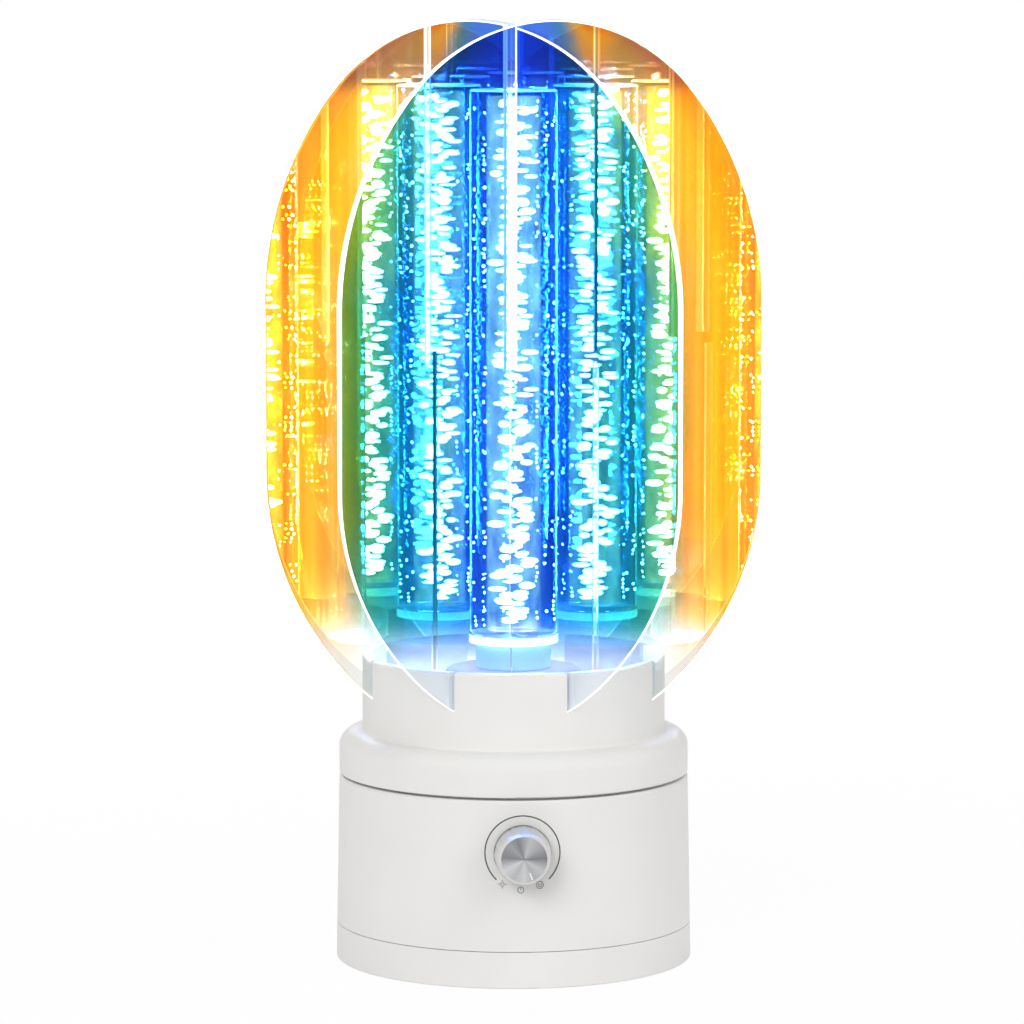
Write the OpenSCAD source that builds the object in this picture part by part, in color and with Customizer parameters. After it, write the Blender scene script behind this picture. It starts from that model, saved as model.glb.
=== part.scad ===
// Turning night light: a round base with a dial, a slotted collar that turns on it,
// four clear oval plates crossing in the collar, and a bubble rod lit from below.
// Millimetres. Z is up, the dial faces -Y, and the origin is the middle of the foot.

/* [Base] */
// Radius of the base and of the turning ring at the turning seam
base_top_r = 50.3; // [45:0.1:57]
// How much wider the base is at its bottom edge
base_flare = 1; // [0:0.1:3]
// Wall of the base housing and of the bottom cover
base_wall = 2.4; // [2:0.1:2.5]
// Height of the seam between the bottom cover and the housing
cover_seam_z = 10.7; // [10:0.1:12]
// Width of the bottom cover's seam
cover_seam_gap = 0.2; // [0.1:0.1:0.6]
// Height of the seam that the head turns on
turn_seam_z = 53.8; // [50:0.1:60]
// Width of the turning seam
turn_seam_gap = 0.8; // [0.6:0.1:1.2]
// Rounding of the bottom cover's outer edge
cover_round = 0.4; // [0.3:0.1:1.8]

/* [Foot] */
// Width of the cover's rim round the anti-slip pad
foot_rim = 5.3; // [3:0.1:9]
// Thickness of the anti-slip pad
foot_t = 1.6; // [1.2:0.1:2]
// How far the pad stands below the bottom cover
foot_stand = 0.3; // [0.2:0.1:0.8]

/* [Bottom cover] */
// Thickness of the cover's floor over the pad's recess
cover_floor_t = 2.4; // [2:0.1:3]
// Height of the cover's locating lip above its seam
cover_lip_h = 2.2; // [1.5:0.1:2.4]
// How far the cover's screws stand in from the base's edge
cover_screw_inset = 7.9; // [7.5:0.1:8.5]
// Radius of the screw bosses
boss_r = 3.4; // [3:0.1:3.6]
// Height of the housing's screw bosses
housing_boss_h = 12; // [8:0.5:14]

/* [Deck] */
// Depth of the deck below the housing's top edge
deck_drop = 2.4; // [2:0.1:3]
// Thickness of the deck that closes the housing
deck_t = 2.6; // [2.2:0.1:3]
// Height of the dust lip above the deck
lip_h = 4.8; // [3.5:0.1:5]
// Thickness of the dust lip
lip_t = 1; // [0.8:0.1:1.2]
// Free space between the dust lip and the turning ring
lip_gap = 0.7; // [0.5:0.1:1]

/* [Turning ring and collar] */
// Angle at which the head stands at rest
head_turn = -3.9; // [-22:0.1:22]
// Height of the turning ring, from the seam to its top
ring_h = 12; // [11.5:0.1:14]
// Wall of the turning ring
ring_wall = 2.3; // [2:0.1:2.5]
// Thickness of the web that closes the ring
web_t = 2.6; // [2.2:0.1:3]
// Rounding of the ring's top edge
ring_round = 4.5; // [3:0.1:5]
// Width of the step from the ring's side to the slotted collar
ring_step = 6.7; // [6:0.1:7.2]
// Wall of the collar
collar_wall = 2.4; // [2:0.1:2.6]
// Height of the collar above the ring
collar_h = 22; // [19:0.5:26]
// Depth of the collar's slots
slot_depth = 11.2; // [8:0.1:12.4]
// Rounding of the collar's rim
rim_round = 0.8; // [0.4:0.1:1]
// Hollow rounding where the collar stands on the ring
collar_foot_round = 1; // [0.4:0.1:1.5]

/* [Plates] */
// Width of an oval plate
plate_w = 128.6; // [110:0.2:132]
// Height of an oval plate
plate_h = 193; // [180:0.5:230]
// Thickness of a plate
plate_t = 1; // [0.8:0.1:2.2]
// Height of the rounded top of the oval
top_rise = 80.3; // [78:0.1:86]
// Radius of the oval's top arc
top_arc_r = 55; // [53:0.5:57]
// Height of the rounded bottom of the whole oval
bottom_rise = 72.4; // [70:0.1:76]
// Radius of the oval's bottom arc
bottom_arc_r = 58; // [56:0.5:59]
// How far the plate's flat bottom ends inside the collar's outer face, at each side
bottom_inset = 0.6; // [0.2:0.1:2]

/* [Rod and light cover] */
// Diameter of the bubble rod
rod_d = 25; // [18:0.5:30]
// Length of the bubble rod
rod_len = 156; // [120:1:158]
// Chamfer of the rod's ends
rod_chamfer = 0.5; // [0.3:0.1:1]
// Thickness of the clear seat under the rod
seat_t = 2.6; // [2:0.1:4]
// How far the seat stands out past the rod
seat_ledge = 0.3; // [0.1:0.1:1]
// Thickness of the floor inside the collar
floor_t = 2.4; // [2:0.1:3]
// Height of the light cover above the collar's floor
light_h = 7.3; // [6:0.1:10]
// Wall of the light cover
light_wall = 2; // [1.5:0.1:2.2]
// Width of the light cover's flange under the collar's floor
light_flange_w = 3; // [2:0.1:4]
// Thickness of that flange
light_flange_t = 1.4; // [1:0.1:2]
// Rounding of the light cover's top edge
light_round = 3; // [1:0.1:4]
// Radius of the light cover's neck
neck_r = 10.8; // [9.6:0.1:12]
// Height of the neck above the light cover
neck_h = 7.3; // [4:0.1:10]
// Radius of the neck's bore
neck_bore_r = 7.5; // [5:0.1:8]

/* [Dial] */
// How far the dial's axis lies below the turning seam
dial_drop = 15; // [14.6:0.1:20]
// Radius of the knob at its back
knob_r = 8.1; // [7.8:0.1:9]
// Radius of the knob at its front
knob_front_r = 7.2; // [6.9:0.1:7.4]
// How far the knob stands out of the wall
knob_reach = 10.4; // [9:0.1:13]
// Space between the knob and the wall
knob_gap = 0.5; // [0.3:0.1:0.8]
// Radius of the knob's metal cap
cap_r = 6.4; // [5.6:0.1:6.5]
// Thickness of the metal cap
cap_t = 0.8; // [0.6:0.1:1]
// Angle of the pointer, clockwise from the top
pointer_angle = 158; // [0:1:360]
// Length of the pointer line
pointer_len = 2.1; // [1:0.1:3]
// Width of the pointer line
pointer_w = 0.4; // [0.3:0.05:0.6]
// Diameter of the dial's shaft
dial_shaft_d = 6; // [5:0.5:6]
// Radius of the dial sensor's body
sensor_r = 8; // [7.5:0.1:8.2]
// Depth of the dial sensor's body
sensor_depth = 8; // [6:0.5:10]
// Radius of the sensor's threaded bush
bush_r = 3.6; // [3.5:0.1:3.8]
// Width of the sensor's nut across its flats
nut_flats = 10; // [9:0.5:10]
// Thickness of the sensor's nut
nut_t = 2; // [1.5:0.1:2.2]

/* [Drive] */
// Gear module
gear_module = 1; // [1:1:1]
// Teeth of the pinion
pinion_teeth = 12; // [12:1:13]
// Wall of the ring gear outside its teeth
gear_rim = 2.65; // [2:0.05:3]
// Free space between the pinion and the bearing hub
pinion_space = 0.8; // [0.5:0.1:1.2]
// Face width of the ring gear's teeth
gear_face = 4.4; // [3.5:0.1:4.6]
// Thickness of the ring gear's flange
gear_flange_t = 2.8; // [2.2:0.1:3]
// Direction of the motor from the light's axis
motor_angle = 150; // [120:5:150]
// Diameter of the motor's can
motor_d = 28; // [24:0.5:28]
// Height of the motor's can
motor_h = 19; // [12:0.5:22]
// Distance of the motor's shaft from the middle of its can
shaft_offset = 8; // [6:0.5:9]
// Diameter of the motor's shaft
motor_shaft_d = 5; // [4:0.5:5]
// Distance between the motor's two screws
motor_screw_span = 35; // [33:0.5:36]
// Radius of the motor's two ears
motor_ear_r = 3.5; // [3:0.1:4]
// Thickness of the ears
motor_ear_t = 1.2; // [0.8:0.1:1.6]
// Radius of the round boss on the motor's face
motor_boss_r = 4.5; // [4:0.1:5]
// Height of that boss
motor_boss_h = 1.8; // [1:0.1:2.2]
// Length of the shafts inside the motor and the dial sensor
shaft_in = 6; // [4:0.5:7]
// Depth of the flats on the shafts
flat_depth = 1; // [0.5:0.1:1.2]

/* [Bearing] */
// Difference between the ball bearing's outer diameter and its bore
bearing_section = 12; // [12:1:14]
// Width of the ball bearing
bearing_w = 7; // [6:0.5:7]
// Diameter of a ball
ball_d = 3.5; // [3:0.1:3.6]
// Number of balls
ball_count = 16; // [12:1:20]
// Wall of the turning ring's bearing hub
hub_wall = 2.2; // [1.8:0.1:2.3]

/* [Light board] */
// Width of the spindle's top outside the light board
led_board_rim = 3; // [1:0.5:5]
// Thickness of a circuit board
board_t = 1.6; // [1:0.1:1.6]
// How far the light board's seat stands above the turning ring's web
led_seat_rise = 1.8; // [1.4:0.1:3]
// Number of light chips round the middle one
led_count = 8; // [6:1:12]

/* [Weight and board] */
// Space between the steel weight and the cover's screw bosses
weight_gap = 2; // [0.5:0.1:6]
// Thickness of the steel weight
weight_t = 4; // [2:0.5:5]
// How far the control board's round edge stands in from the base's edge
board_inset = 5.7; // [5.5:0.1:7]
// Half width of the control board
board_half_w = 34; // [30:0.5:36]
// Height of the control board's posts
post_h = 8.4; // [6.5:0.1:8.8]

/* [Fits] */
// Clearance of a pressed or bonded round fit, on the radius
press_gap = 0.02; // [0.01:0.01:0.04]
// Clearance of a running fit, on the radius
run_gap = 0.04; // [0.02:0.01:0.08]
// Clearance on each side of a plate in its slot
plate_gap = 0.15; // [0.05:0.05:0.3]
// Clearance round a screw's shank
screw_gap = 0.1; // [0.05:0.05:0.2]
// Clearance of a loose location fit
fit_gap = 0.2; // [0.1:0.05:0.3]
// Free space between a moving piece and a fixed one
free_gap = 0.5; // [0.4:0.1:0.6]

/* [Hidden] */
$fn = 72;
tiny = 0.01;
plastic_white = [0.90, 0.90, 0.89];
clear_blue = [0.35, 0.75, 0.95, 0.45];
steel_grey = [0.62, 0.63, 0.65];

// Heights, from the ground up
cover_bottom = foot_stand;
recess_top = foot_t;
cover_floor_top = recess_top + cover_floor_t;
cover_top = cover_seam_z - cover_seam_gap / 2;
housing_bottom = cover_seam_z + cover_seam_gap / 2;
boss_meet_z = housing_bottom + cover_lip_h;
housing_top = turn_seam_z - turn_seam_gap / 2;
deck_top = housing_top - deck_drop;
deck_bottom = deck_top - deck_t;
lip_top = deck_top + lip_h;
ring_bottom = turn_seam_z + turn_seam_gap / 2;
web_top = ring_bottom + ring_h;
web_bottom = web_top - web_t;
gear_flange_bottom = web_bottom - gear_flange_t;
gear_bottom = gear_flange_bottom - gear_face;
hub_flange_t = 2.2;
bearing_top = web_top - hub_flange_t;
bearing_bottom = bearing_top - bearing_w;
led_seat_z = web_top + led_seat_rise;
led_board_top = led_seat_z + board_t;
collar_top = web_top + collar_h;
slot_floor = collar_top - slot_depth;
floor_bottom = slot_floor - floor_t;
light_top = slot_floor + light_h;
neck_top = light_top + neck_h;
seat_top = neck_top + seat_t;
board_bottom = cover_floor_top + post_h;
board_top = board_bottom + board_t;

// Radii and places
base_foot_r = base_top_r + base_flare;
foot_r = base_foot_r - foot_rim;
cover_screw_circle_r = base_foot_r - cover_screw_inset;
weight_r = cover_screw_circle_r - boss_r - weight_gap;
board_r = base_foot_r - board_inset;
collar_r = base_top_r - ring_step;
function outer_r(z) = base_foot_r - (base_foot_r - base_top_r) * z / turn_seam_z;
function inner_r(z) = outer_r(z) - base_wall;
cover_lip_r = inner_r(boss_meet_z) - fit_gap;
ring_inner_r = base_top_r - ring_wall;
lip_outer_r = ring_inner_r - lip_gap;
lip_inner_r = lip_outer_r - lip_t;
collar_inner_r = collar_r - collar_wall;
dial_z = turn_seam_z - dial_drop;
wall_y = outer_r(dial_z);
socket_w = 9;
socket_h = 3.2;
socket_len = 7.4;
socket_z = board_top + socket_h / 2;
tongue_top = board_top - 0.2;

// Depth of the dial nut's flat seat, and of the sensor's face, behind the wall's front
dial_seat = 1.2;
sensor_face = 4.6;

// Plates: each is a chord of the collar between slots a quarter turn apart
plate_tilt = 22.5;
plate_distance = collar_r * cos(45);
cross_offset = plate_distance * tan(plate_tilt);
cross_angle = 2 * plate_tilt;
cross_slot_w = plate_t * (1 + cos(cross_angle)) / sin(cross_angle) + 2 * plate_gap;
bottom_half_w = collar_r * sin(45) - bottom_inset;
bottom_cut = bottom_arc_r - sqrt(pow(bottom_arc_r, 2) - pow(bottom_half_w, 2));
straight_bottom = bottom_rise - bottom_cut;
straight_top = plate_h - top_rise;
plate_middle = plate_h / 2;

// Gears
pressure_angle = 20;
gear_rim_r = lip_inner_r - 0.4;
ring_teeth = round(2 * (gear_rim_r - gear_rim) / gear_module - 2.5);
ring_pitch_r = gear_module * ring_teeth / 2;
pinion_pitch_r = gear_module * pinion_teeth / 2;
gear_distance = ring_pitch_r - pinion_pitch_r;
ring_tip_r = ring_pitch_r - 0.6 * gear_module;
ring_root_r = ring_pitch_r + 1.25 * gear_module;
pinion_tip_r = pinion_pitch_r + gear_module;
pinion_root_r = pinion_pitch_r - gear_module;
gear_flange_r = gear_distance;
backlash = 0.12;

// Bearing: as large as the space inside the pinion lets it be, in whole millimetres
hub_r = gear_distance - pinion_tip_r - pinion_space;
bearing_od = 2 * floor(hub_r - hub_wall);
bearing_bore = bearing_od - bearing_section;
ball_circle_r = (bearing_bore + bearing_od) / 4;
bearing_lip = 2.2;
hub_hole_r = bearing_od / 2 - bearing_lip;
spindle_flange_r = bearing_bore / 2 + 4;
spindle_flange_t = 3;
spindle_bore_r = 5;
spindle_shoulder_r = bearing_bore / 2 + 1.7;
spindle_screw_r = bearing_bore / 2 - 3;
light_r = bearing_bore / 2;
led_board_r = bearing_bore / 2 - led_board_rim;
pinion_bottom = gear_bottom - 0.4;
pinion_top = gear_flange_bottom - free_gap;

// Screws: shank radius, head radius, head height
m3 = [1.5, 2.7, 1.7];
m25 = [1.25, 2.2, 1.4];
floor_boss_r = 2.8;
floor_screw_r = light_r + light_flange_w + floor_boss_r + 1.4;
floor_screw_in = 6;
gear_screw_r = gear_flange_r + m25[1] + 0.3;
post_r = 2.8;
side_post_x = board_half_w - 10;
back_post_y = board_r - 12.6;
board_posts = [[-side_post_x, 2], [side_post_x, 2], [-16, back_post_y], [16, back_post_y]];

// A round outline around the Z axis, from r0 to r1 and z0 to z1
module band(r0, r1, z0, z1) {
  rotate_extrude() translate([r0, z0]) square([r1 - r0, z1 - z0]);
}

// The material outside a rounded corner at [r, z]; sr and sz point into the piece
module corner(r, z, radius, sr, sz) {
  translate([r, z]) difference() {
    translate([sr > 0 ? -tiny : -radius, sz > 0 ? -tiny : -radius])
      square([radius + tiny, radius + tiny]);
    translate([sr * radius, sz * radius]) circle(radius);
  }
}

// A screw along Z with its head's seat at z = 0 and its shank below it
module screw(size, len) {
  translate([0, 0, -len]) cylinder(r = size[0], h = len);
  difference() {
    cylinder(r = size[1], h = size[2]);
    translate([0, 0, size[2] / 2])
      cylinder(r = size[0], h = size[2], $fn = 6);
  }
}

// Copies round the Z axis
module around(count, r, start = 0) {
  for (i = [0 : count - 1])
    rotate([0, 0, start + i * 360 / count]) translate([r, 0, 0]) children();
}

module at_dial() {
  translate([0, -wall_y, dial_z]) rotate([90, 0, 0]) children();
}

module at_motor() {
  rotate([0, 0, motor_angle]) translate([gear_distance, 0, 0]) children();
}

module head() {
  rotate([0, 0, head_turn]) children();
}

// Base

module foot_pad() {
  color([0.25, 0.25, 0.27]) cylinder(r = foot_r, h = foot_t);
}

cover_screw_angles = [45, 135, 225, 315];

module bottom_cover() {
  color(plastic_white) difference() {
    union() {
      rotate_extrude() difference() {
        union() {
          polygon([[0, cover_bottom], [outer_r(cover_bottom), cover_bottom],
            [outer_r(cover_top), cover_top], [inner_r(cover_top), cover_top],
            [inner_r(cover_floor_top), cover_floor_top], [0, cover_floor_top]]);
          translate([cover_lip_r - base_wall / 2 - fit_gap, cover_floor_top - tiny])
            square([base_wall / 2 + fit_gap, boss_meet_z - cover_floor_top + tiny]);
        }
        corner(outer_r(cover_bottom), cover_bottom, cover_round, -1, 1);
      }
      intersection() {
        band(cover_lip_r - base_wall / 2, outer_r(tongue_top), cover_floor_top, tongue_top);
        translate([-socket_w / 2, 0, 0]) cube([socket_w, base_foot_r, tongue_top]);
      }
      for (a = cover_screw_angles) rotate([0, 0, a])
        translate([cover_screw_circle_r, 0, cover_floor_top - tiny])
          cylinder(r = boss_r, h = boss_meet_z - cover_floor_top + tiny);
      for (p = board_posts) translate([p[0], p[1], cover_floor_top - tiny])
        cylinder(r = post_r, h = post_h + tiny);
    }
    translate([0, 0, cover_bottom - 1])
      cylinder(r = foot_r + fit_gap, h = 1 + recess_top - cover_bottom);
    for (a = cover_screw_angles) rotate([0, 0, a])
      translate([cover_screw_circle_r, 0, 0]) {
        cylinder(r = m3[0] + screw_gap, h = boss_meet_z + 1);
        cylinder(r = m3[1] + screw_gap, h = recess_top + m3[2]);
      }
    for (p = board_posts) translate([p[0], p[1], board_bottom - post_h / 2])
      cylinder(r = m25[0] + screw_gap, h = post_h);
  }
}

module cover_screws() {
  color(steel_grey) for (a = cover_screw_angles) rotate([0, 0, a])
    translate([cover_screw_circle_r, 0, recess_top + m3[2]]) mirror([0, 0, 1])
      screw(m3, boss_meet_z - recess_top + housing_boss_h / 2);
}

module steel_weight() {
  color([0.45, 0.46, 0.48]) difference() {
    translate([0, 0, cover_floor_top]) cylinder(r = weight_r, h = weight_t);
    for (p = board_posts) translate([p[0], p[1], 0])
      cylinder(r = post_r + fit_gap, h = board_top);
  }
}

motor_screw_angles = [90, -90];
motor_screw_boss_h = 3;

module base_housing() {
  edge = 0.5;
  pad_r = sensor_r + 1;
  pad_depth = 4.6;
  color(plastic_white) difference() {
    union() {
      rotate_extrude() polygon([[0, deck_bottom], [inner_r(deck_bottom), deck_bottom],
        [inner_r(housing_bottom), housing_bottom], [outer_r(housing_bottom), housing_bottom],
        [outer_r(housing_top - edge), housing_top - edge],
        [outer_r(housing_top) - edge, housing_top], [lip_outer_r, housing_top],
        [lip_outer_r, lip_top], [lip_inner_r, lip_top], [lip_inner_r, deck_top],
        [0, deck_top]]);
      intersection() {
        union() {
          for (a = cover_screw_angles) rotate([0, 0, a])
            translate([cover_screw_circle_r, 0, boss_meet_z])
              cylinder(r = boss_r, h = housing_boss_h);
          for (a = cover_screw_angles) rotate([0, 0, a])
            translate([cover_screw_circle_r, -1, boss_meet_z])
              cube([base_top_r - cover_screw_circle_r - base_wall / 2, 2, housing_boss_h]);
          at_dial() translate([0, 0, -pad_depth]) cylinder(r = pad_r, h = pad_depth - edge);
        }
        cylinder(r = base_top_r - base_wall / 2, h = housing_top);
      }
      at_motor() for (a = motor_screw_angles)
        translate([-shaft_offset, sign(a) * motor_screw_span / 2, deck_top - tiny])
          cylinder(r = m3[0] + 1.6, h = motor_screw_boss_h + tiny);
    }
    for (a = cover_screw_angles) rotate([0, 0, a])
      translate([cover_screw_circle_r, 0, boss_meet_z - 1])
        cylinder(r = m3[0] + screw_gap, h = 1 + housing_boss_h * 0.8);
    // Dial: bush hole and a flat seat for the nut
    at_dial() translate([0, 0, -10]) cylinder(r = bush_r + screw_gap, h = 20);
    at_dial() translate([0, 0, -dial_seat]) cylinder(r = nut_flats / 2 * 1.3, h = 10);
    // Power socket: a notch that the cover's tongue fills from below
    translate([0, inner_r(board_top) - 4, socket_z]) rotate([-90, 0, 0])
      linear_extrude(base_wall + 8) stadium(socket_w + 2 * fit_gap, socket_h + 2 * fit_gap);
    translate([-socket_w / 2 - fit_gap, inner_r(board_top) - 4, housing_bottom - 1])
      cube([socket_w + 2 * fit_gap, base_wall + 8, socket_z - housing_bottom + 1]);
    // Deck: lead, motor boss, motor screws, spindle screws
    translate([0, 0, deck_bottom - 1]) cylinder(r = spindle_bore_r, h = deck_t + 2);
    at_motor() translate([0, 0, deck_bottom - 1])
      cylinder(r = motor_boss_r + fit_gap, h = deck_t + 2);
    at_motor() for (a = motor_screw_angles)
      translate([-shaft_offset, sign(a) * motor_screw_span / 2, deck_bottom - 1])
        cylinder(r = m3[0] + screw_gap, h = 1 + deck_t + motor_screw_boss_h - 0.8);
    translate([0, 0, deck_bottom - 1]) around(3, spindle_screw_r, motor_angle + 60)
      cylinder(r = m3[0] + screw_gap, h = deck_t + 2);
  }
}

// Power socket, a flat rounded shell on the control board
module stadium(w, h) {
  for (s = [-1, 1]) translate([s * (w - h) / 2, 0]) circle(h / 2, $fn = 32);
  square([w - h, h], center = true);
}

module power_socket() {
  shell = 0.35;
  mouth_y = outer_r(socket_z) - 0.8;
  color(steel_grey) difference() {
    translate([0, mouth_y, socket_z]) rotate([90, 0, 0])
      linear_extrude(socket_len) stadium(socket_w, socket_h);
    translate([0, mouth_y + 1, socket_z]) rotate([90, 0, 0])
      linear_extrude(socket_len - shell) stadium(socket_w - 2 * shell, socket_h - 2 * shell);
  }
  color([0.1, 0.1, 0.1]) translate([-3.3, mouth_y - socket_len + 0.6, socket_z - 0.35])
    cube([6.6, socket_len - 1.6, 0.7]);
}

module control_board() {
  front_y = -8;
  color([0.10, 0.36, 0.22]) difference() {
    intersection() {
      translate([0, 0, board_bottom]) cylinder(r = board_r, h = board_t);
      translate([-board_half_w, front_y, board_bottom - 1])
        cube([2 * board_half_w, board_r * 2, board_t + 2]);
    }
    for (a = cover_screw_angles) rotate([0, 0, a]) translate([cover_screw_circle_r, 0, 0])
      cylinder(r = boss_r + 1, h = board_top + 1);
    for (p = board_posts) translate([p[0], p[1], 0])
      cylinder(r = m25[0] + screw_gap, h = board_top + 1);
  }
}

// Chips, coil, capacitor and plug sockets on the control board
module board_parts() {
  color([0.13, 0.13, 0.14]) translate([0, 0, board_top]) {
    translate([-14, 12, 0]) cube([9, 9, 1.2]);
    translate([8, 16, 0]) cube([5, 6, 1.5]);
    translate([18, 22, 0]) cylinder(r = 4, h = 4);
    translate([-4, 24, 0]) cylinder(r = 3.2, h = 8);
  }
  color([0.92, 0.90, 0.84]) translate([0, 0, board_top]) {
    translate([-4, 0.5, 0]) cube([8, 5, light_plug_h]);
    translate([-26, 12, 0]) cube([6, 9, 5.5]);
    translate([14, -5, 0]) cube([9, 5, 5.5]);
  }
}

module board_screws() {
  color(steel_grey) for (p = board_posts) translate([p[0], p[1], board_top])
    screw(m25, board_t + post_h / 2 - 0.5);
}

light_plug_h = 4;
wire_r = 0.8;

// The pair of wires that rises from the control board to the light board
module light_lead() {
  color([0.75, 0.12, 0.10]) for (s = [-1, 1])
    translate([s * 1.3, 3, board_top + light_plug_h])
      cylinder(r = wire_r, h = led_seat_z - board_top - light_plug_h, $fn = 24);
}

// Spindle, bearing and light board

groove_t = 1.2;
groove_depth = 0.8;
groove_z = bearing_top + 0.1;

module spindle() {
  flange_top = deck_top + spindle_flange_t;
  journal_r = bearing_bore / 2;
  color([0.78, 0.79, 0.80]) difference() {
    rotate_extrude() polygon([[spindle_bore_r, deck_top], [spindle_flange_r, deck_top],
      [spindle_flange_r, flange_top], [spindle_shoulder_r, flange_top],
      [spindle_shoulder_r, bearing_bottom], [journal_r, bearing_bottom],
      [journal_r, groove_z],
      [journal_r - groove_depth, groove_z], [journal_r - groove_depth, groove_z + groove_t],
      [journal_r, groove_z + groove_t], [journal_r, led_seat_z],
      [spindle_bore_r, led_seat_z]]);
    translate([0, 0, deck_top - 1]) around(3, spindle_screw_r, motor_angle + 60)
      cylinder(r = m3[0] + screw_gap, h = spindle_flange_t + 3);
  }
}

module spindle_screws() {
  color(steel_grey) around(3, spindle_screw_r, motor_angle + 60)
    translate([0, 0, deck_bottom]) mirror([0, 0, 1])
      screw(m3, deck_t + spindle_flange_t + 1);
}

module light_board() {
  color([0.92, 0.93, 0.92]) translate([0, 0, led_seat_z])
    cylinder(r = led_board_r, h = board_t);
}

module light_chips() {
  color([0.98, 0.93, 0.70]) translate([0, 0, led_board_top]) {
    translate([-2.5, -2.5, 0]) cube([5, 5, 1.2]);
    around(led_count, led_board_r * 0.65) translate([-1.75, -1.4, 0]) cube([3.5, 2.8, 0.8]);
  }
}

// Ball track shared by both races
module ball_track(extra) {
  rotate_extrude() translate([ball_circle_r, bearing_bottom + bearing_w / 2])
    circle(ball_d / 2 + extra, $fn = 48);
}

module bearing_inner_race() {
  color([0.70, 0.71, 0.73]) difference() {
    band(bearing_bore / 2 + press_gap, ball_circle_r - ball_d * 0.32, bearing_bottom,
      bearing_top);
    ball_track(run_gap);
  }
}

module bearing_outer_race() {
  color([0.70, 0.71, 0.73]) difference() {
    band(ball_circle_r + ball_d * 0.32, bearing_od / 2 - press_gap, bearing_bottom,
      bearing_top);
    ball_track(run_gap);
  }
}

module bearing_balls() {
  color([0.85, 0.86, 0.88]) translate([0, 0, bearing_bottom + bearing_w / 2])
    around(ball_count, ball_circle_r) sphere(ball_d / 2, $fn = 48);
}

module bearing_cage() {
  cage_t = ball_d * 0.4;
  cage_h = bearing_w * 0.66;
  color([0.75, 0.62, 0.30]) difference() {
    band(ball_circle_r - cage_t / 2, ball_circle_r + cage_t / 2,
      bearing_bottom + (bearing_w - cage_h) / 2, bearing_top - (bearing_w - cage_h) / 2);
    translate([0, 0, bearing_bottom + bearing_w / 2])
      around(ball_count, ball_circle_r - cage_t) rotate([0, 90, 0])
        cylinder(r = ball_d / 2 + run_gap, h = 2 * cage_t);
  }
}

module retaining_ring() {
  color(steel_grey) difference() {
    band(bearing_bore / 2 - groove_depth + press_gap, bearing_bore / 2 + 1.6,
      groove_z + press_gap, groove_z + groove_t - press_gap);
    rotate([0, 0, motor_angle]) translate([0, -3, 0]) cube([bearing_od, 6, led_seat_z]);
  }
}

// Motor and gears

module motor_case() {
  color([0.72, 0.73, 0.74]) at_motor() difference() {
    union() {
      translate([-shaft_offset, 0, deck_bottom - motor_h])
        cylinder(r = motor_d / 2, h = motor_h);
      translate([0, 0, deck_bottom - tiny]) cylinder(r = motor_boss_r, h = motor_boss_h);
      for (s = [-1, 1])
        translate([-shaft_offset, s * motor_screw_span / 2, deck_bottom - motor_ear_t])
          cylinder(r = motor_ear_r, h = motor_ear_t);
      translate([-shaft_offset - motor_ear_r, -motor_screw_span / 2,
        deck_bottom - motor_ear_t])
        cube([2 * motor_ear_r, motor_screw_span, motor_ear_t]);
    }
    for (s = [-1, 1]) translate([-shaft_offset, s * motor_screw_span / 2, deck_bottom - 4])
      cylinder(r = m3[0] + screw_gap, h = 8);
    translate([0, 0, deck_bottom - shaft_in - run_gap])
      cylinder(r = motor_shaft_d / 2 + run_gap, h = shaft_in + 10);
  }
}

module motor_screws() {
  color(steel_grey) at_motor() for (s = [-1, 1])
    translate([-shaft_offset, s * motor_screw_span / 2, deck_bottom - motor_ear_t])
      mirror([0, 0, 1]) screw(m3, motor_ear_t + deck_t + motor_screw_boss_h - 1.2);
}

// The shaft with its two flats where the pinion sits
module motor_shaft() {
  color(steel_grey) at_motor() difference() {
    translate([0, 0, deck_bottom - shaft_in])
      cylinder(r = motor_shaft_d / 2, h = pinion_top - deck_bottom + shaft_in);
    for (s = [0, 180]) rotate([0, 0, s])
      translate([motor_shaft_d / 2 - flat_depth, -motor_shaft_d, pinion_bottom - 0.5])
        cube([motor_shaft_d, 2 * motor_shaft_d, pinion_top]);
  }
}

// Half the angle that an involute tooth takes at radius r
function inv(a) = tan(a) * 180 / PI - a;
function tooth_half(teeth, r, extra) =
  let (base = gear_module * teeth / 2 * cos(pressure_angle))
  90 / teeth + inv(pressure_angle) - (r > base ? inv(acos(base / r)) : 0)
  + extra / r * 180 / PI;

// A gear outline with involute flanks from r0 to r1, its first tooth on the X axis
module gear_outline(teeth, r0, r1, extra, steps) {
  flank = [for (k = [0 : steps]) r0 + (r1 - r0) * k / steps];
  polygon([for (i = [0 : teeth - 1]) each concat(
    [for (k = [0 : steps]) let (r = flank[k], a = i * 360 / teeth - tooth_half(teeth, r, extra))
      [r * cos(a), r * sin(a)]],
    [for (k = [0 : steps])
      let (r = flank[steps - k], a = i * 360 / teeth + tooth_half(teeth, r, extra))
      [r * cos(a), r * sin(a)]])]);
}

module drive_pinion() {
  color([0.93, 0.92, 0.86]) at_motor() translate([0, 0, pinion_bottom]) difference() {
    linear_extrude(pinion_top - pinion_bottom)
      gear_outline(pinion_teeth, pinion_root_r, pinion_tip_r, -backlash / 2, 5);
    difference() {
      translate([0, 0, -1])
        cylinder(r = motor_shaft_d / 2 + press_gap, h = pinion_top - pinion_bottom + 2);
      for (s = [0, 180]) rotate([0, 0, s])
        translate([motor_shaft_d / 2 - flat_depth + press_gap, -motor_shaft_d, -2])
          cube([motor_shaft_d, 2 * motor_shaft_d, pinion_top - pinion_bottom + 4]);
    }
  }
}

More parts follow.
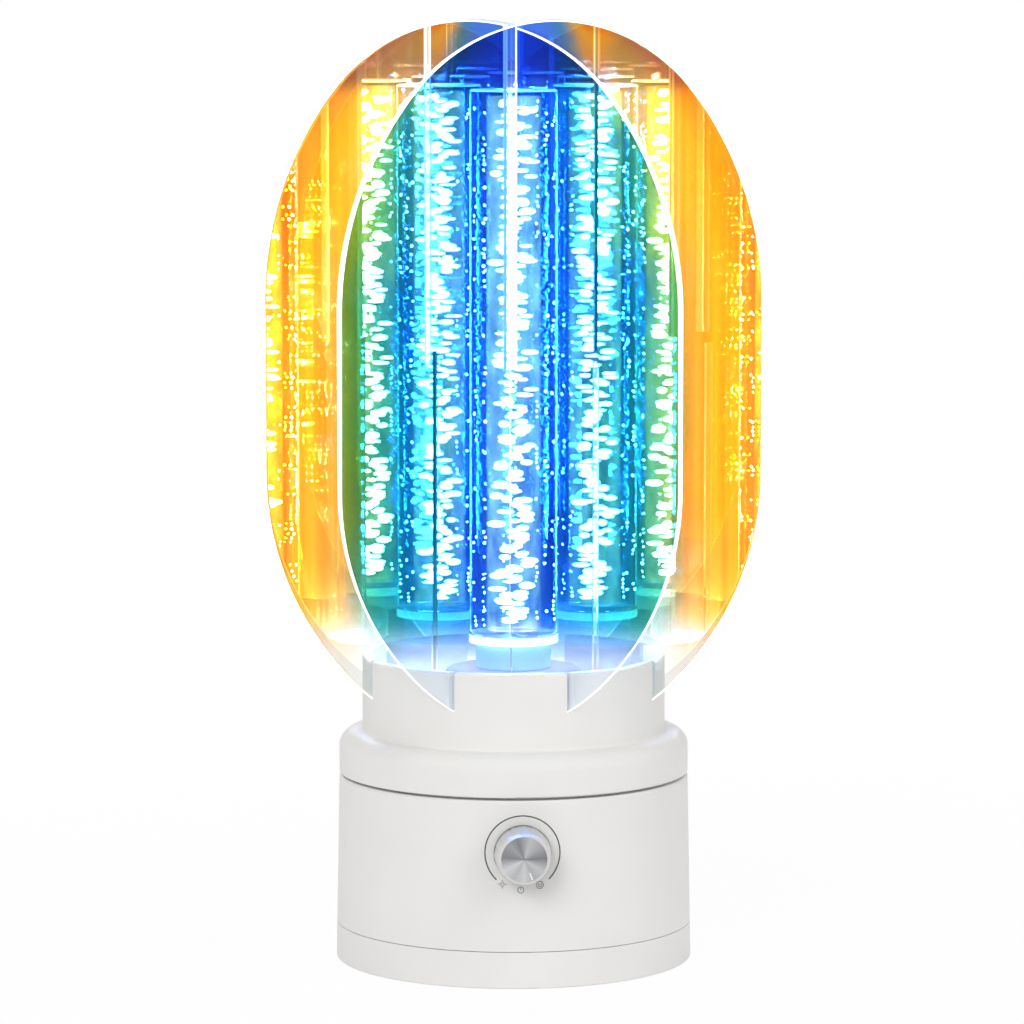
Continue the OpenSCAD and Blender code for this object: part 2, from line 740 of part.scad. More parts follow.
module ring_gear() {
  color([0.93, 0.92, 0.86]) difference() {
    union() {
      band(gear_flange_r, gear_rim_r, gear_flange_bottom, web_bottom);
      band(ring_tip_r - 1, gear_rim_r, gear_bottom, gear_flange_bottom + tiny);
    }
    translate([0, 0, gear_bottom - 1]) rotate([0, 0, motor_angle])
      linear_extrude(gear_face + 1)
        gear_outline(ring_teeth, ring_tip_r, ring_root_r, backlash / 2, 2);
    head() around(4, gear_screw_r, plate_tilt) translate([0, 0, gear_bottom])
      cylinder(r = m25[0] + screw_gap, h = gear_face + gear_flange_t + 1);
  }
}

module gear_screws() {
  color(steel_grey) head() around(4, gear_screw_r, plate_tilt)
    translate([0, 0, web_top]) screw(m25, web_t + gear_flange_t - 0.4);
}

// Dial

module dial_sensor() {
  color([0.30, 0.42, 0.30]) at_dial() difference() {
    union() {
      translate([0, 0, -sensor_face - sensor_depth]) cylinder(r = sensor_r, h = sensor_depth);
      translate([0, 0, -sensor_face - tiny])
        cylinder(r = bush_r, h = sensor_face - dial_seat + nut_t + 1 + tiny);
      translate([-6, -sensor_r - 4, -sensor_face - sensor_depth + 1]) cube([12, 8, 1.2]);
    }
    translate([0, 0, -sensor_face - shaft_in - run_gap])
      cylinder(r = dial_shaft_d / 2 + run_gap, h = shaft_in + sensor_face + knob_reach);
  }
}

module dial_nut() {
  color(steel_grey) at_dial() translate([0, 0, -dial_seat]) difference() {
    cylinder(r = nut_flats / 2 / cos(30), h = nut_t, $fn = 6);
    translate([0, 0, -1]) cylinder(r = bush_r + press_gap, h = nut_t + 2);
  }
}

module dial_shaft() {
  color(steel_grey) at_dial() difference() {
    translate([0, 0, -sensor_face - shaft_in])
      cylinder(r = dial_shaft_d / 2, h = sensor_face + shaft_in + shaft_end);
    translate([dial_shaft_d / 2 - flat_depth, -dial_shaft_d, flat_start])
      cube([dial_shaft_d, 2 * dial_shaft_d, knob_reach]);
  }
}

cavity_h = 3;
cavity_r = 6.4;
shaft_end = knob_reach - 2.4;
flat_start = knob_gap + cavity_h + 0.3;

module knob_body() {
  color([0.86, 0.87, 0.88]) at_dial() difference() {
    rotate_extrude() polygon([[0, knob_gap], [knob_r - 0.3, knob_gap],
      [knob_r, knob_gap + 0.3], [knob_front_r, knob_reach - 0.7],
      [cap_r + 0.25, knob_reach], [0, knob_reach]]);
    translate([0, 0, knob_gap - 1]) cylinder(r = cavity_r, h = 1 + cavity_h);
    translate([0, 0, knob_reach - cap_t]) cylinder(r = cap_r + press_gap, h = cap_t + 1);
    difference() {
      cylinder(r = dial_shaft_d / 2 + press_gap, h = shaft_end + press_gap);
      translate([dial_shaft_d / 2 - flat_depth + press_gap, -dial_shaft_d, flat_start])
        cube([dial_shaft_d, 2 * dial_shaft_d, knob_reach]);
    }
  }
}

pointer_depth = 0.3;

module pointer_slab(extra) {
  at_dial() rotate([0, 0, -pointer_angle])
    translate([-pointer_w / 2 - extra, cap_r - 0.3 - pointer_len - extra,
      knob_reach - pointer_depth - extra])
      cube([pointer_w + 2 * extra, pointer_len + 2 * extra, pointer_depth + 3 * extra]);
}

module knob_cap() {
  color([0.70, 0.71, 0.73]) difference() {
    at_dial() translate([0, 0, knob_reach - cap_t]) difference() {
      cylinder(r = cap_r, h = cap_t);
      translate([0, 0, cap_t + 0.2]) sphere(0.5, $fn = 24);
    }
    pointer_slab(press_gap);
  }
}

module knob_pointer() {
  color([0.97, 0.97, 0.97]) pointer_slab(0);
}

// Turning head

// The slab that one plate fills, from the slots' floor up
module plate_slab(normal, t) {
  rotate([0, 0, normal]) translate([-plate_w, -plate_distance - t / 2, slot_floor])
    cube([2 * plate_w, t, plate_h]);
}

plate_normals = [-plate_tilt, plate_tilt, 180 - plate_tilt, 180 + plate_tilt];

module turning_collar() {
  color(plastic_white) head() difference() {
    union() {
      rotate_extrude() difference() {
        union() {
          translate([ring_inner_r, ring_bottom]) square([ring_wall, ring_h]);
          translate([hub_hole_r, web_bottom]) square([base_top_r - hub_hole_r, web_t]);
          translate([collar_inner_r, web_bottom]) square([collar_wall, web_t + collar_h]);
          translate([hub_hole_r, bearing_bottom])
            square([hub_r - hub_hole_r, web_top - bearing_bottom]);
          translate([collar_r - tiny, web_top - tiny]) difference() {
            square(collar_foot_round + tiny);
            translate([collar_foot_round + tiny, collar_foot_round + tiny])
              circle(collar_foot_round, $fn = 32);
          }
          translate([ring_inner_r - ring_round / 2, web_bottom - ring_round / 2])
            square([ring_round / 2 + tiny, ring_round / 2 + tiny]);
        }
        corner(base_top_r, web_top, ring_round, -1, -1);
        translate([ring_inner_r - ring_round / 2, web_bottom - ring_round / 2])
          circle(ring_round / 2, $fn = 32);
        corner(collar_r, collar_top, rim_round, -1, -1);
        corner(collar_inner_r, collar_top, rim_round, 1, -1);
        corner(base_top_r, ring_bottom, 0.4, -1, 1);
        translate([hub_hole_r - 1, bearing_bottom - 1])
          square([bearing_od / 2 - hub_hole_r + 1 + press_gap, bearing_w + 1]);
      }
      around(4, floor_screw_r) translate([0, 0, web_top - tiny])
        cylinder(r = floor_boss_r, h = floor_bottom - web_top + tiny);
    }
    for (n = plate_normals) plate_slab(n, plate_t + 2 * plate_gap);
    around(4, floor_screw_r) translate([0, 0, web_top])
      cylinder(r = m25[0] + screw_gap, h = floor_bottom);
    around(4, gear_screw_r, plate_tilt) translate([0, 0, web_bottom - 1])
      cylinder(r = m25[0] + screw_gap, h = web_t + 2);
  }
}

module collar_floor() {
  color([0.96, 0.96, 0.95]) head() difference() {
    band(light_r + fit_gap, collar_inner_r - fit_gap, floor_bottom, slot_floor);
    around(4, floor_screw_r) translate([0, 0, floor_bottom - 1]) {
      cylinder(r = m25[0] + screw_gap, h = floor_t + 2);
      translate([0, 0, 1 + floor_t - m25[2]]) cylinder(r = m25[1] + screw_gap, h = 3);
    }
  }
}

module floor_screws() {
  color(steel_grey) head() around(4, floor_screw_r)
    translate([0, 0, slot_floor - m25[2]]) screw(m25, floor_t - m25[2] + floor_screw_in);
}

module light_cover() {
  color([0.95, 0.96, 0.98]) rotate_extrude() difference() {
    union() {
      translate([light_r - light_wall, floor_bottom - light_flange_t])
        square([light_flange_w + light_wall, light_flange_t]);
      translate([light_r - light_wall, floor_bottom - tiny])
        square([light_wall, light_top - floor_bottom + tiny]);
      translate([neck_bore_r, light_top - light_wall])
        square([light_r - neck_bore_r, light_wall]);
      translate([light_r - light_round, light_top - light_round])
        square([light_round, light_round]);
      translate([neck_bore_r, light_top - tiny])
        square([neck_r - neck_bore_r, neck_h + tiny]);
    }
    corner(light_r, light_top, light_round, -1, -1);
  }
}

module rod_seat() {
  color([0.85, 0.93, 1.0, 0.6]) {
    translate([0, 0, neck_top]) cylinder(r = rod_d / 2 + seat_ledge, h = seat_t);
    translate([0, 0, light_top]) cylinder(r = neck_bore_r - fit_gap, h = neck_h + tiny);
  }
}

module bubble_rod() {
  color([0.55, 0.75, 1.0, 0.6]) translate([0, 0, seat_top]) rotate_extrude()
    polygon([[0, 0], [rod_d / 2 - rod_chamfer, 0], [rod_d / 2, rod_chamfer],
      [rod_d / 2, rod_len - rod_chamfer], [rod_d / 2 - rod_chamfer, rod_len], [0, rod_len]]);
}

// The upper half of an oval: a top arc that runs into two flatter side arcs
module oval_half(half_w, rise, arc_r) {
  side_off = (pow(rise - arc_r, 2) - pow(half_w - arc_r, 2)) / (2 * (half_w - arc_r));
  joint_h = rise - arc_r + arc_r * sin(atan2(rise - arc_r, side_off));
  translate([0, rise - arc_r]) circle(arc_r, $fn = 180);
  intersection() {
    translate([-side_off, 0]) circle(half_w + side_off, $fn = 240);
    translate([side_off, 0]) circle(half_w + side_off, $fn = 240);
    translate([-half_w, 0]) square([2 * half_w, joint_h]);
  }
}

module plate_outline() {
  intersection() {
    union() {
      translate([0, straight_top]) oval_half(plate_w / 2, top_rise, top_arc_r);
      translate([0, straight_bottom]) mirror([0, 1])
        oval_half(plate_w / 2, bottom_rise, bottom_arc_r);
      translate([-plate_w / 2, straight_bottom])
        square([plate_w, straight_top - straight_bottom]);
    }
    translate([-plate_w, 0]) square([2 * plate_w, plate_h + 1]);
  }
}

// One plate; side is where it crosses its neighbour, open is the end its slot opens to
module plate(normal, side, open) {
  color(clear_blue) head() rotate([0, 0, normal])
    translate([0, -plate_distance + plate_t / 2, slot_floor]) rotate([90, 0, 0])
      linear_extrude(plate_t) difference() {
        plate_outline();
        translate([side * cross_offset - cross_slot_w / 2,
          open > 0 ? plate_middle - plate_gap : -1])
          square([cross_slot_w, open > 0 ? plate_h : plate_middle + plate_gap + 1]);
      }
}

module plate_front_left() plate(-plate_tilt, 1, 1);
module plate_front_right() plate(plate_tilt, -1, -1);
module plate_back_right() plate(180 - plate_tilt, 1, 1);
module plate_back_left() plate(180 + plate_tilt, -1, -1);

foot_pad();
bottom_cover();
cover_screws();
steel_weight();
base_housing();
control_board();
board_parts();
board_screws();
power_socket();
light_lead();
spindle();
spindle_screws();
light_board();
light_chips();
bearing_inner_race();
retaining_ring();
motor_case();
motor_screws();
dial_sensor();
dial_nut();
turning_collar();
ring_gear();
gear_screws();
bearing_outer_race();
collar_floor();
floor_screws();
light_cover();
rod_seat();
bubble_rod();
plate_front_left();
plate_front_right();
plate_back_left();
plate_back_right();
bearing_cage();
bearing_balls();
motor_shaft();
drive_pinion();
dial_shaft();
knob_body();
knob_cap();
knob_pointer();
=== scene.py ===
"""Looks of a turning night light: a matte white base with a metal dial, and four clear
oval plates with a colour-shifting film that cross round a bubble rod lit from below."""
import math
import random

import bmesh
import bpy
from mathutils import Matrix, Vector


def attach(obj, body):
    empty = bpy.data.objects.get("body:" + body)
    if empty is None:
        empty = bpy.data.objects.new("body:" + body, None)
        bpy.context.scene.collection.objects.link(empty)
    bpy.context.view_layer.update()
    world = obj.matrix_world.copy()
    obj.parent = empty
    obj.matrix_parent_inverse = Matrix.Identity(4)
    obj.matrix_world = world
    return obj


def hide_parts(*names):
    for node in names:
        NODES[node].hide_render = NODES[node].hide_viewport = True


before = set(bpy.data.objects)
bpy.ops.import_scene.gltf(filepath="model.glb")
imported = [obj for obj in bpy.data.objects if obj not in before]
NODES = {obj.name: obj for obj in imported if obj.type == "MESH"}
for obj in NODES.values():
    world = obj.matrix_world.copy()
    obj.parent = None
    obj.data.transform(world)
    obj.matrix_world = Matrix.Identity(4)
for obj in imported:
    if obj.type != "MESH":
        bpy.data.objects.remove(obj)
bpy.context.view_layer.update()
MM = 0.001

# Sizes of the part, in millimetres
HEAD_TURN = math.radians(-3.9)
PLATE_TILT = math.radians(22.5)
SLOT_ANGLE = math.radians(45)
COLLAR_R = 43.6
PLATE_AT = COLLAR_R * math.cos(SLOT_ANGLE)
PLATE_T = 1.0
PLATE_HALF_W = 64.3
SLOT_FLOOR = 77.0
PLATE_TOP = 270.0
SLOT_PLAY = 0.3
CROSS_AT = PLATE_AT * math.tan(PLATE_TILT)
CROSS_W = PLATE_T * (1 + math.cos(2 * PLATE_TILT)) / math.sin(2 * PLATE_TILT) + SLOT_PLAY
ROD_R = 12.5
ROD_BOTTOM = 94.2
ROD_TOP = 250.2
LIGHT_COVER_Z = 84.3
DIAL_Z = 38.8
BASE_FOOT_R = 51.3
BASE_TOP_R = 50.3
SEAM_Z = 53.8
WALL_Y = BASE_FOOT_R - (BASE_FOOT_R - BASE_TOP_R) * DIAL_Z / SEAM_Z


# Materials

def srgb(text):
    """A colour written as on screen, such as "E5E5E4", in linear light."""
    parts = [int(text[i:i + 2], 16) / 255 for i in (0, 2, 4)]
    linear = [c / 12.92 if c <= 0.04045 else ((c + 0.055) / 1.055) ** 2.4 for c in parts]
    return tuple(linear) + (1.0,)


def new_material(name):
    """An empty material and its node tree."""
    m = bpy.data.materials.new(name)
    m.use_nodes = True
    m.node_tree.nodes.clear()
    return m, m.node_tree


def node(tree, kind, settings=None, links=None, stops=(), **values):
    """Adds one node. Settings are its own properties, stops the places and colours of a
    colour ramp, and links and values go to its inputs: by name, or i7 for input 7."""
    n = tree.nodes.new("ShaderNode" + kind)
    for key, value in (settings or {}).items():
        setattr(n, key, value)
    for key, value in values.items():
        name = key.replace("_", " ")
        n.inputs[name if name in n.inputs else int(key[1:])].default_value = value
    for key, socket in (links or {}).items():
        tree.links.new(socket, n.inputs[key])
    for _ in stops[2:]:
        n.color_ramp.elements.new(0.5)
    for i, (place, colour) in enumerate(stops):
        n.color_ramp.elements[i].position = place
        n.color_ramp.elements[i].color = (srgb(colour) if isinstance(colour, str)
                                          else (colour, colour, colour, 1))
    return n


def moulded_abs():
    """Matte ABS moulding: off-white, with the fine spark-eroded grain of its mould."""
    m, t = new_material("matte_white_abs")
    place = node(t, "TexCoord").outputs["Object"]
    # Grain of about 0.6 mm, drawn coarser than the real 0.1 mm so that it shows
    grain = node(t, "TexNoise", links={"Vector": place}, Scale=1 / (0.6 * MM), Detail=3.0)
    tone = node(t, "TexNoise", links={"Vector": place}, Scale=1 / (30 * MM), Detail=2.0)
    colour = node(t, "ValToRGB", links={"Fac": tone.outputs["Fac"]},
                  stops=[(0.3, "E9E8E6"), (0.7, "EDECEA")])
    rough = node(t, "MapRange", links={"Value": grain.outputs["Fac"]}, To_Min=0.52, To_Max=0.66)
    bump = node(t, "Bump", links={"Height": grain.outputs["Fac"]},
                Strength=0.12, Distance=0.05 * MM)
    p = node(t, "BsdfPrincipled", links={"Base Color": colour.outputs[0],
             "Normal": bump.outputs[0], "Roughness": rough.outputs[0]},
             IOR=1.54, Specular_IOR_Level=0.35)
    node(t, "OutputMaterial", links={"Surface": p.outputs[0]})
    return m


def satin_metal():
    """Turned and bead-blasted aluminium of the knob's side: bright and soft, with painted shade
    that darkens it near the wall."""
    m, t = new_material("satin_aluminium")
    place = node(t, "TexCoord").outputs["Object"]
    grain = node(t, "TexNoise", links={"Vector": place}, Scale=1 / (0.3 * MM), Detail=2.0)
    rough = node(t, "MapRange", links={"Value": grain.outputs["Fac"]}, To_Min=0.55, To_Max=0.65)
    # Tool marks along the side, some 2 mm wide
    along = node(t, "Mapping", links={"Vector": place}, Scale=(1, 0.1, 1))
    marks = node(t, "TexNoise", links={"Vector": along.outputs[0]},
                 Scale=1 / (2 * MM), Detail=2.0)
    # The painted shade is full up to 0.8 mm off the wall and gone at 4 mm
    depth = node(t, "SeparateXYZ", links={0: place}).outputs["Y"]
    shade = node(t, "MapRange", links={"Value": depth}, From_Min=-(WALL_Y + 4) * MM,
                 From_Max=-(WALL_Y + 0.8) * MM, To_Min=0.35, To_Max=-0.4)
    tone = node(t, "Math", settings={"operation": "ADD", "use_clamp": True},
                links={0: marks.outputs["Fac"], 1: shade.outputs[0]})
    colour = node(t, "ValToRGB", links={"Fac": tone.outputs[0]},
                  stops=[(0.2, "77787B"), (0.5, "C6C7C9"), (0.8, "DEDCDA")])
    p = node(t, "BsdfPrincipled", links={"Roughness": rough.outputs[0],
             "Base Color": colour.outputs[0]}, Metallic=1.0)
    node(t, "OutputMaterial", links={"Surface": p.outputs[0]})
    return m


# Greys of the spun face, once round its middle clockwise from below. They are a painted
# reflection that stands for its fans of light, and they turn with the dial, where real ones
# would stay
PAINTED_FAN_GREYS = [(0.0, "D6D7D9"), (0.08, "C0C1C3"), (0.17, "DADBDC"), (0.27, "8E8F93"),
             (0.38, "A9AAAD"), (0.45, "8C8D91"), (0.55, "C6C7C9"), (0.63, "B4B5B8"),
             (0.74, "88898D"), (0.84, "CDCED0"), (0.92, "B9BABC"), (1.0, "D6D7D9")]


def spun_metal():
    """Spun aluminium of the knob's face: fine turning circles, with its fans of light painted
    into its colour as a painted reflection.
    """
    m, t = new_material("spun_aluminium")
    place = node(t, "TexCoord").outputs["Object"]
    at = node(t, "VectorMath", settings={"operation": "SUBTRACT"}, links={0: place},
              i1=(0, 0, DIAL_Z * MM))
    flat = node(t, "VectorMath", settings={"operation": "MULTIPLY"}, links={0: at.outputs[0]},
                i1=(1, 0, 1))
    # Turning marks 0.5 mm apart. At scale 1 the texture's rings are 0.314 apart
    rings = node(t, "TexWave", settings={"wave_type": "RINGS", "rings_direction": "SPHERICAL"},
                 links={"Vector": flat.outputs[0]}, Scale=0.314 / (0.5 * MM),
                 Distortion=0.4)
    bump = node(t, "Bump", links={"Height": rings.outputs["Fac"]},
                Strength=0.05, Distance=0.01 * MM)
    tangent = node(t, "Tangent", settings={"direction_type": "RADIAL", "axis": "Y"})
    parts = node(t, "SeparateXYZ", links={0: flat.outputs[0]})
    # Painted reflection: the fans of light are greys painted by the angle round the middle
    angle = node(t, "Math", settings={"operation": "ARCTAN2"},
                 links={0: parts.outputs["X"], 1: parts.outputs["Z"]})
    share = node(t, "MapRange", links={"Value": angle.outputs[0]},
                 From_Min=-math.pi, From_Max=math.pi)
    painted_fans = node(t, "ValToRGB", links={"Fac": share.outputs[0]}, stops=PAINTED_FAN_GREYS)
    fine = node(t, "ValToRGB", links={"Fac": rings.outputs["Fac"]},
                stops=[(0.0, "EEEEEE"), (1.0, "FFFFFF")])
    tone = node(t, "Mix", settings={"data_type": "RGBA", "blend_type": "MULTIPLY"},
                links={6: painted_fans.outputs[0], 7: fine.outputs[0]}, i0=1.0)
    p = node(t, "BsdfPrincipled", links={"Base Color": tone.outputs[2],
             "Normal": bump.outputs[0], "Tangent": tangent.outputs[0]},
             Metallic=1.0, Roughness=0.3, Anisotropic=0.85)
    node(t, "OutputMaterial", links={"Surface": p.outputs[0]})
    return m


def plain_metal(name, colour, roughness):
    """Bare turned metal of the hidden works."""
    m, t = new_material(name)
    place = node(t, "TexCoord").outputs["Object"]
    lines = node(t, "TexNoise", links={"Vector": place}, Scale=1 / (0.5 * MM), Detail=2.0)
    rough = node(t, "MapRange", links={"Value": lines.outputs["Fac"]},
                 To_Min=roughness - 0.05, To_Max=roughness + 0.08)
    p = node(t, "BsdfPrincipled", links={"Roughness": rough.outputs[0]},
             Base_Color=srgb(colour), Metallic=1.0)
    node(t, "OutputMaterial", links={"Surface": p.outputs[0]})
    return m


def plain_plastic(name, dark, light, roughness):
    """Moulded or laminated piece of the hidden works, with a little mottling."""
    m, t = new_material(name)
    place = node(t, "TexCoord").outputs["Object"]
    spots = node(t, "TexNoise", links={"Vector": place}, Scale=1 / (2 * MM), Detail=3.0)
    colour = node(t, "ValToRGB", links={"Fac": spots.outputs["Fac"]},
                  stops=[(0.35, dark), (0.65, light)])
    p = node(t, "BsdfPrincipled", links={"Base Color": colour.outputs[0]}, Roughness=roughness)
    node(t, "OutputMaterial", links={"Surface": p.outputs[0]})
    return m


def printed_ink(name, colour):
    """Pad-printed ink, dull and a little uneven."""
    m, t = new_material(name)
    place = node(t, "TexCoord").outputs["Object"]
    spots = node(t, "TexNoise", links={"Vector": place}, Scale=1 / (0.4 * MM), Detail=2.0)
    tone = node(t, "MapRange", links={"Value": spots.outputs["Fac"]}, To_Min=0.55, To_Max=0.75)
    p = node(t, "BsdfPrincipled", links={"Roughness": tone.outputs[0]}, Base_Color=srgb(colour))
    node(t, "OutputMaterial", links={"Surface": p.outputs[0]})
    return m


# Light that one film lets through, from a plate's far end to its near end. Worked out from what
# the lamp shows through two to four films, then set one by one
FILM_PASSES = [(0.00, "F1AF50"), (0.06, "F3C755"), (0.11, "F3CD5D"), (0.17, "ECC76F"),
               (0.24, "B3BC9B"), (0.33, "6CAFB1"), (0.50, "6FA7CE"), (0.66, "6CA7D4"),
               (0.80, "50ADC7"), (0.90, "50BCB6"), (1.00, "8BDFC8")]
# How far in the amber reaches, of the oval's half width, from this height to its top. From
# the fourth stop on that is as far as the oval's side has come in, and before it a bit more
AMBER_RISES_FROM = 190.0
AMBER_REACH = [(0.0, 0.0), (0.31, 0.14), (0.5, 0.18), (0.63, 0.24), (0.75, 0.34),
               (0.85, 0.47), (0.94, 0.64), (1.0, 1.0)]


def dichroic_film():
    """Vacuum-coated colour film on the plate's inner face: it lets light through in a
    colour that runs from amber over blue to sea green, and mirrors what is inside."""
    m, t = new_material("dichroic_film_acrylic")
    place = node(t, "TexCoord").outputs["Object"]
    split = node(t, "SeparateXYZ", links={0: place})
    tinting = {"data_type": "RGBA", "blend_type": "MULTIPLY"}
    # Faint clouds about 25 mm wide shift the colours a little, as in a real coating
    cloud = node(t, "TexNoise", links={"Vector": place}, Scale=1 / (25 * MM), Detail=2.0)
    shift = node(t, "MapRange", links={"Value": cloud.outputs["Fac"]},
                 To_Min=-0.04, To_Max=0.04)
    # Near the top the amber zone follows the oval's outline, so it reaches further in
    level = node(t, "MapRange", links={"Value": split.outputs["Z"]},
                 From_Min=AMBER_RISES_FROM * MM, From_Max=PLATE_TOP * MM)
    reach = node(t, "ValToRGB", links={"Fac": level.outputs[0]}, stops=AMBER_REACH)
    left = node(t, "MapRange", links={"Value": split.outputs["X"]},
                From_Min=3 * MM, From_Max=-10 * MM, To_Min=0.0, To_Max=PLATE_HALF_W * MM)
    pull = node(t, "Math", settings={"operation": "MULTIPLY"},
                links={0: reach.outputs[0], 1: left.outputs[0]})
    from_far = node(t, "Math", settings={"operation": "SUBTRACT"},
                    links={0: split.outputs["X"], 1: pull.outputs[0]})
    along = node(t, "MapRange", links={"Value": from_far.outputs[0]},
                 From_Min=-PLATE_HALF_W * MM, From_Max=PLATE_HALF_W * MM)
    moved = node(t, "Math", settings={"operation": "ADD", "use_clamp": True},
                 links={0: along.outputs[0], 1: shift.outputs[0]})
    passes = node(t, "ValToRGB", links={"Fac": moved.outputs[0]}, stops=FILM_PASSES)
    # Violet patches some 35 mm wide, where the coating is a little thicker
    patch = node(t, "TexNoise", links={"Vector": place}, Scale=1 / (35 * MM), Detail=1.0)
    much = node(t, "MapRange", links={"Value": patch.outputs["Fac"]},
                From_Min=0.52, From_Max=0.75, To_Min=0.0, To_Max=0.5)
    inside = node(t, "MapRange", links={"Value": split.outputs["X"]},
                  From_Min=-30 * MM, From_Max=-10 * MM)
    share = node(t, "Math", settings={"operation": "MULTIPLY"},
                 links={0: much.outputs[0], 1: inside.outputs[0]})
    violet = node(t, "Mix", settings=tinting,
                  links={0: share.outputs[0], 6: passes.outputs[0]}, i7=srgb("E8A8FF"))
    # Upright streaks some 4 mm wide in the amber, from the way the sheet ran past the source
    upright = node(t, "Mapping", links={"Vector": place}, Scale=(1, 1, 0.02))
    run = node(t, "TexNoise", links={"Vector": upright.outputs[0]},
               Scale=1 / (4 * MM), Detail=3.0)
    deep = node(t, "MapRange", links={"Value": run.outputs["Fac"]},
                From_Min=0.42, From_Max=0.62)
    amber = node(t, "MapRange", links={"Value": split.outputs["X"]},
                 From_Min=-28 * MM, From_Max=-40 * MM)
    in_amber = node(t, "Math", settings={"operation": "MULTIPLY"},
                    links={0: deep.outputs[0], 1: amber.outputs[0]})
    streaked = node(t, "Mix", settings=tinting,
                    links={0: in_amber.outputs[0], 6: violet.outputs[2]}, i7=srgb("FFEAD6"))
    # Above the rod the film is painted darker, browner in the amber and deeper in the blue:
    # painted shade where no lit rod stands behind it
    above = node(t, "MapRange", settings={"interpolation_type": "SMOOTHSTEP"},
                 links={"Value": split.outputs["Z"]}, From_Min=(ROD_TOP - 3) * MM,
                 From_Max=(ROD_TOP + 4) * MM)
    shaded_above_rod = node(t, "Mix", settings=tinting,
                 links={0: above.outputs[0], 6: streaked.outputs[2]}, i7=srgb("CECCFF"))
    # The coating thins out towards the foot of the plate, less so at its far end
    low = node(t, "MapRange", settings={"interpolation_type": "SMOOTHSTEP"},
               links={"Value": split.outputs["Z"]}, From_Min=104 * MM, From_Max=88 * MM)
    most = node(t, "MapRange", links={"Value": split.outputs["X"]},
                From_Min=-55 * MM, From_Max=-20 * MM, To_Min=0.4, To_Max=0.96)
    bare = node(t, "Math", settings={"operation": "MULTIPLY"},
                links={0: low.outputs[0], 1: most.outputs[0]})
    tint = node(t, "Mix", settings={"data_type": "RGBA"},
                links={0: bare.outputs[0], 6: shaded_above_rod.outputs[2]}, i7=srgb("F6FCFF"))
    clear = node(t, "BsdfTransparent", links={"Color": tint.outputs[2]})
    # Where the film ends the sheet glows a little: painted light for what it catches
    painted_sheet_glow = node(t, "Math", settings={"operation": "MULTIPLY"}, links={0: bare.outputs[0]},
                 i1=0.09)
    haze = node(t, "Emission", links={"Strength": painted_sheet_glow.outputs[0]}, Color=srgb("EEE2FF"))
    through = node(t, "AddShader", links={0: clear.outputs[0], 1: haze.outputs[0]})
    mirror = node(t, "BsdfGlossy", Color=srgb("CBCBCD"), Roughness=0.0)
    inner = node(t, "AddShader", links={0: through.outputs[0], 1: mirror.outputs[0]})
    # Seen through the sheet, the film's outer side shows its colour and doesn't mirror
    side = node(t, "NewGeometry").outputs["Backfacing"]
    both = node(t, "MixShader", links={0: side, 1: inner.outputs[0], 2: through.outputs[0]})
    node(t, "OutputMaterial", links={"Surface": both.outputs[0]})
    return m


def clear_face():
    """Polished face of the acrylic sheet, without the film. Its gloss is weaker than that
    of real acrylic, whose IOR is 1.49."""
    m, t = new_material("clear_acrylic_face")
    through = node(t, "BsdfTransparent", Color=(1, 1, 1, 1))
    gloss = node(t, "BsdfGlossy", Roughness=0.0, Color=(1, 1, 1, 1))
    edge_on = node(t, "Fresnel", IOR=1.12)
    both = node(t, "MixShader", links={0: edge_on.outputs[0], 1: through.outputs[0],
                2: gloss.outputs[0]})
    node(t, "OutputMaterial", links={"Surface": both.outputs[0]})
    return m


def lit_edge(name, colour, strength):
    """Cut edge of the acrylic, flame-polished: the light that the sheet carries leaves here."""
    m, t = new_material(name)
    place = node(t, "TexCoord").outputs["Object"]
    specks = node(t, "TexNoise", links={"Vector": place}, Scale=1 / (3 * MM), Detail=2.0)
    glow = node(t, "MapRange", links={"Value": specks.outputs["Fac"]},
                To_Min=strength * 0.8, To_Max=strength * 1.15)
    p = node(t, "BsdfPrincipled", links={"Emission Strength": glow.outputs[0]},
             Base_Color=srgb("F4F6F8"), Roughness=0.15, IOR=1.49, Emission_Color=srgb(colour))
    node(t, "OutputMaterial", links={"Surface": p.outputs[0]})
    return m


def rod_acrylic():
    """Cast acrylic of the rod, polished: it bends what is inside it a little, and a painted
    sheen glows along both sides of its wall."""
    m, t = new_material("cast_acrylic_rod")
    place = node(t, "TexCoord").outputs["Object"]
    # Streaks of painted glow along the rod, 1.5 mm wide and some 75 mm long
    upright = node(t, "Mapping", links={"Vector": place}, Scale=(1, 1, 0.02))
    streak = node(t, "TexNoise", links={"Vector": upright.outputs[0]},
                  Scale=1 / (1.5 * MM), Detail=2.0)
    haze = node(t, "MapRange", links={"Value": streak.outputs["Fac"]},
                From_Min=0.4, From_Max=0.7, To_Min=0.0, To_Max=0.5)
    # Painted sheen: light given off at the rod's sides, broken up by pits 1 mm long
    sheen = node(t, "LayerWeight", Blend=0.5)
    side = node(t, "MapRange", links={"Value": sheen.outputs["Facing"]},
                From_Min=0.72, From_Max=0.9, To_Min=0.0, To_Max=9.0)
    pits = node(t, "TexNoise", links={"Vector": place}, Scale=1 / (1.0 * MM), Detail=2.0)
    broken = node(t, "MapRange", links={"Value": pits.outputs["Fac"]},
                  From_Min=0.35, From_Max=0.6, To_Min=0.25, To_Max=1.0)
    side = node(t, "Math", settings={"operation": "MULTIPLY"},
                links={0: side.outputs[0], 1: broken.outputs[0]})
    glow = node(t, "Math", settings={"operation": "ADD"},
                links={0: haze.outputs[0], 1: side.outputs[0]})
    bend = node(t, "BsdfRefraction", Color=srgb("B4CEF4"), Roughness=0.0, IOR=1.1)
    light = node(t, "Emission", links={"Strength": glow.outputs[0]}, Color=srgb("F0E4F4"))
    both = node(t, "AddShader", links={0: bend.outputs[0], 1: light.outputs[0]})
    node(t, "OutputMaterial", links={"Surface": both.outputs[0]})
    return m


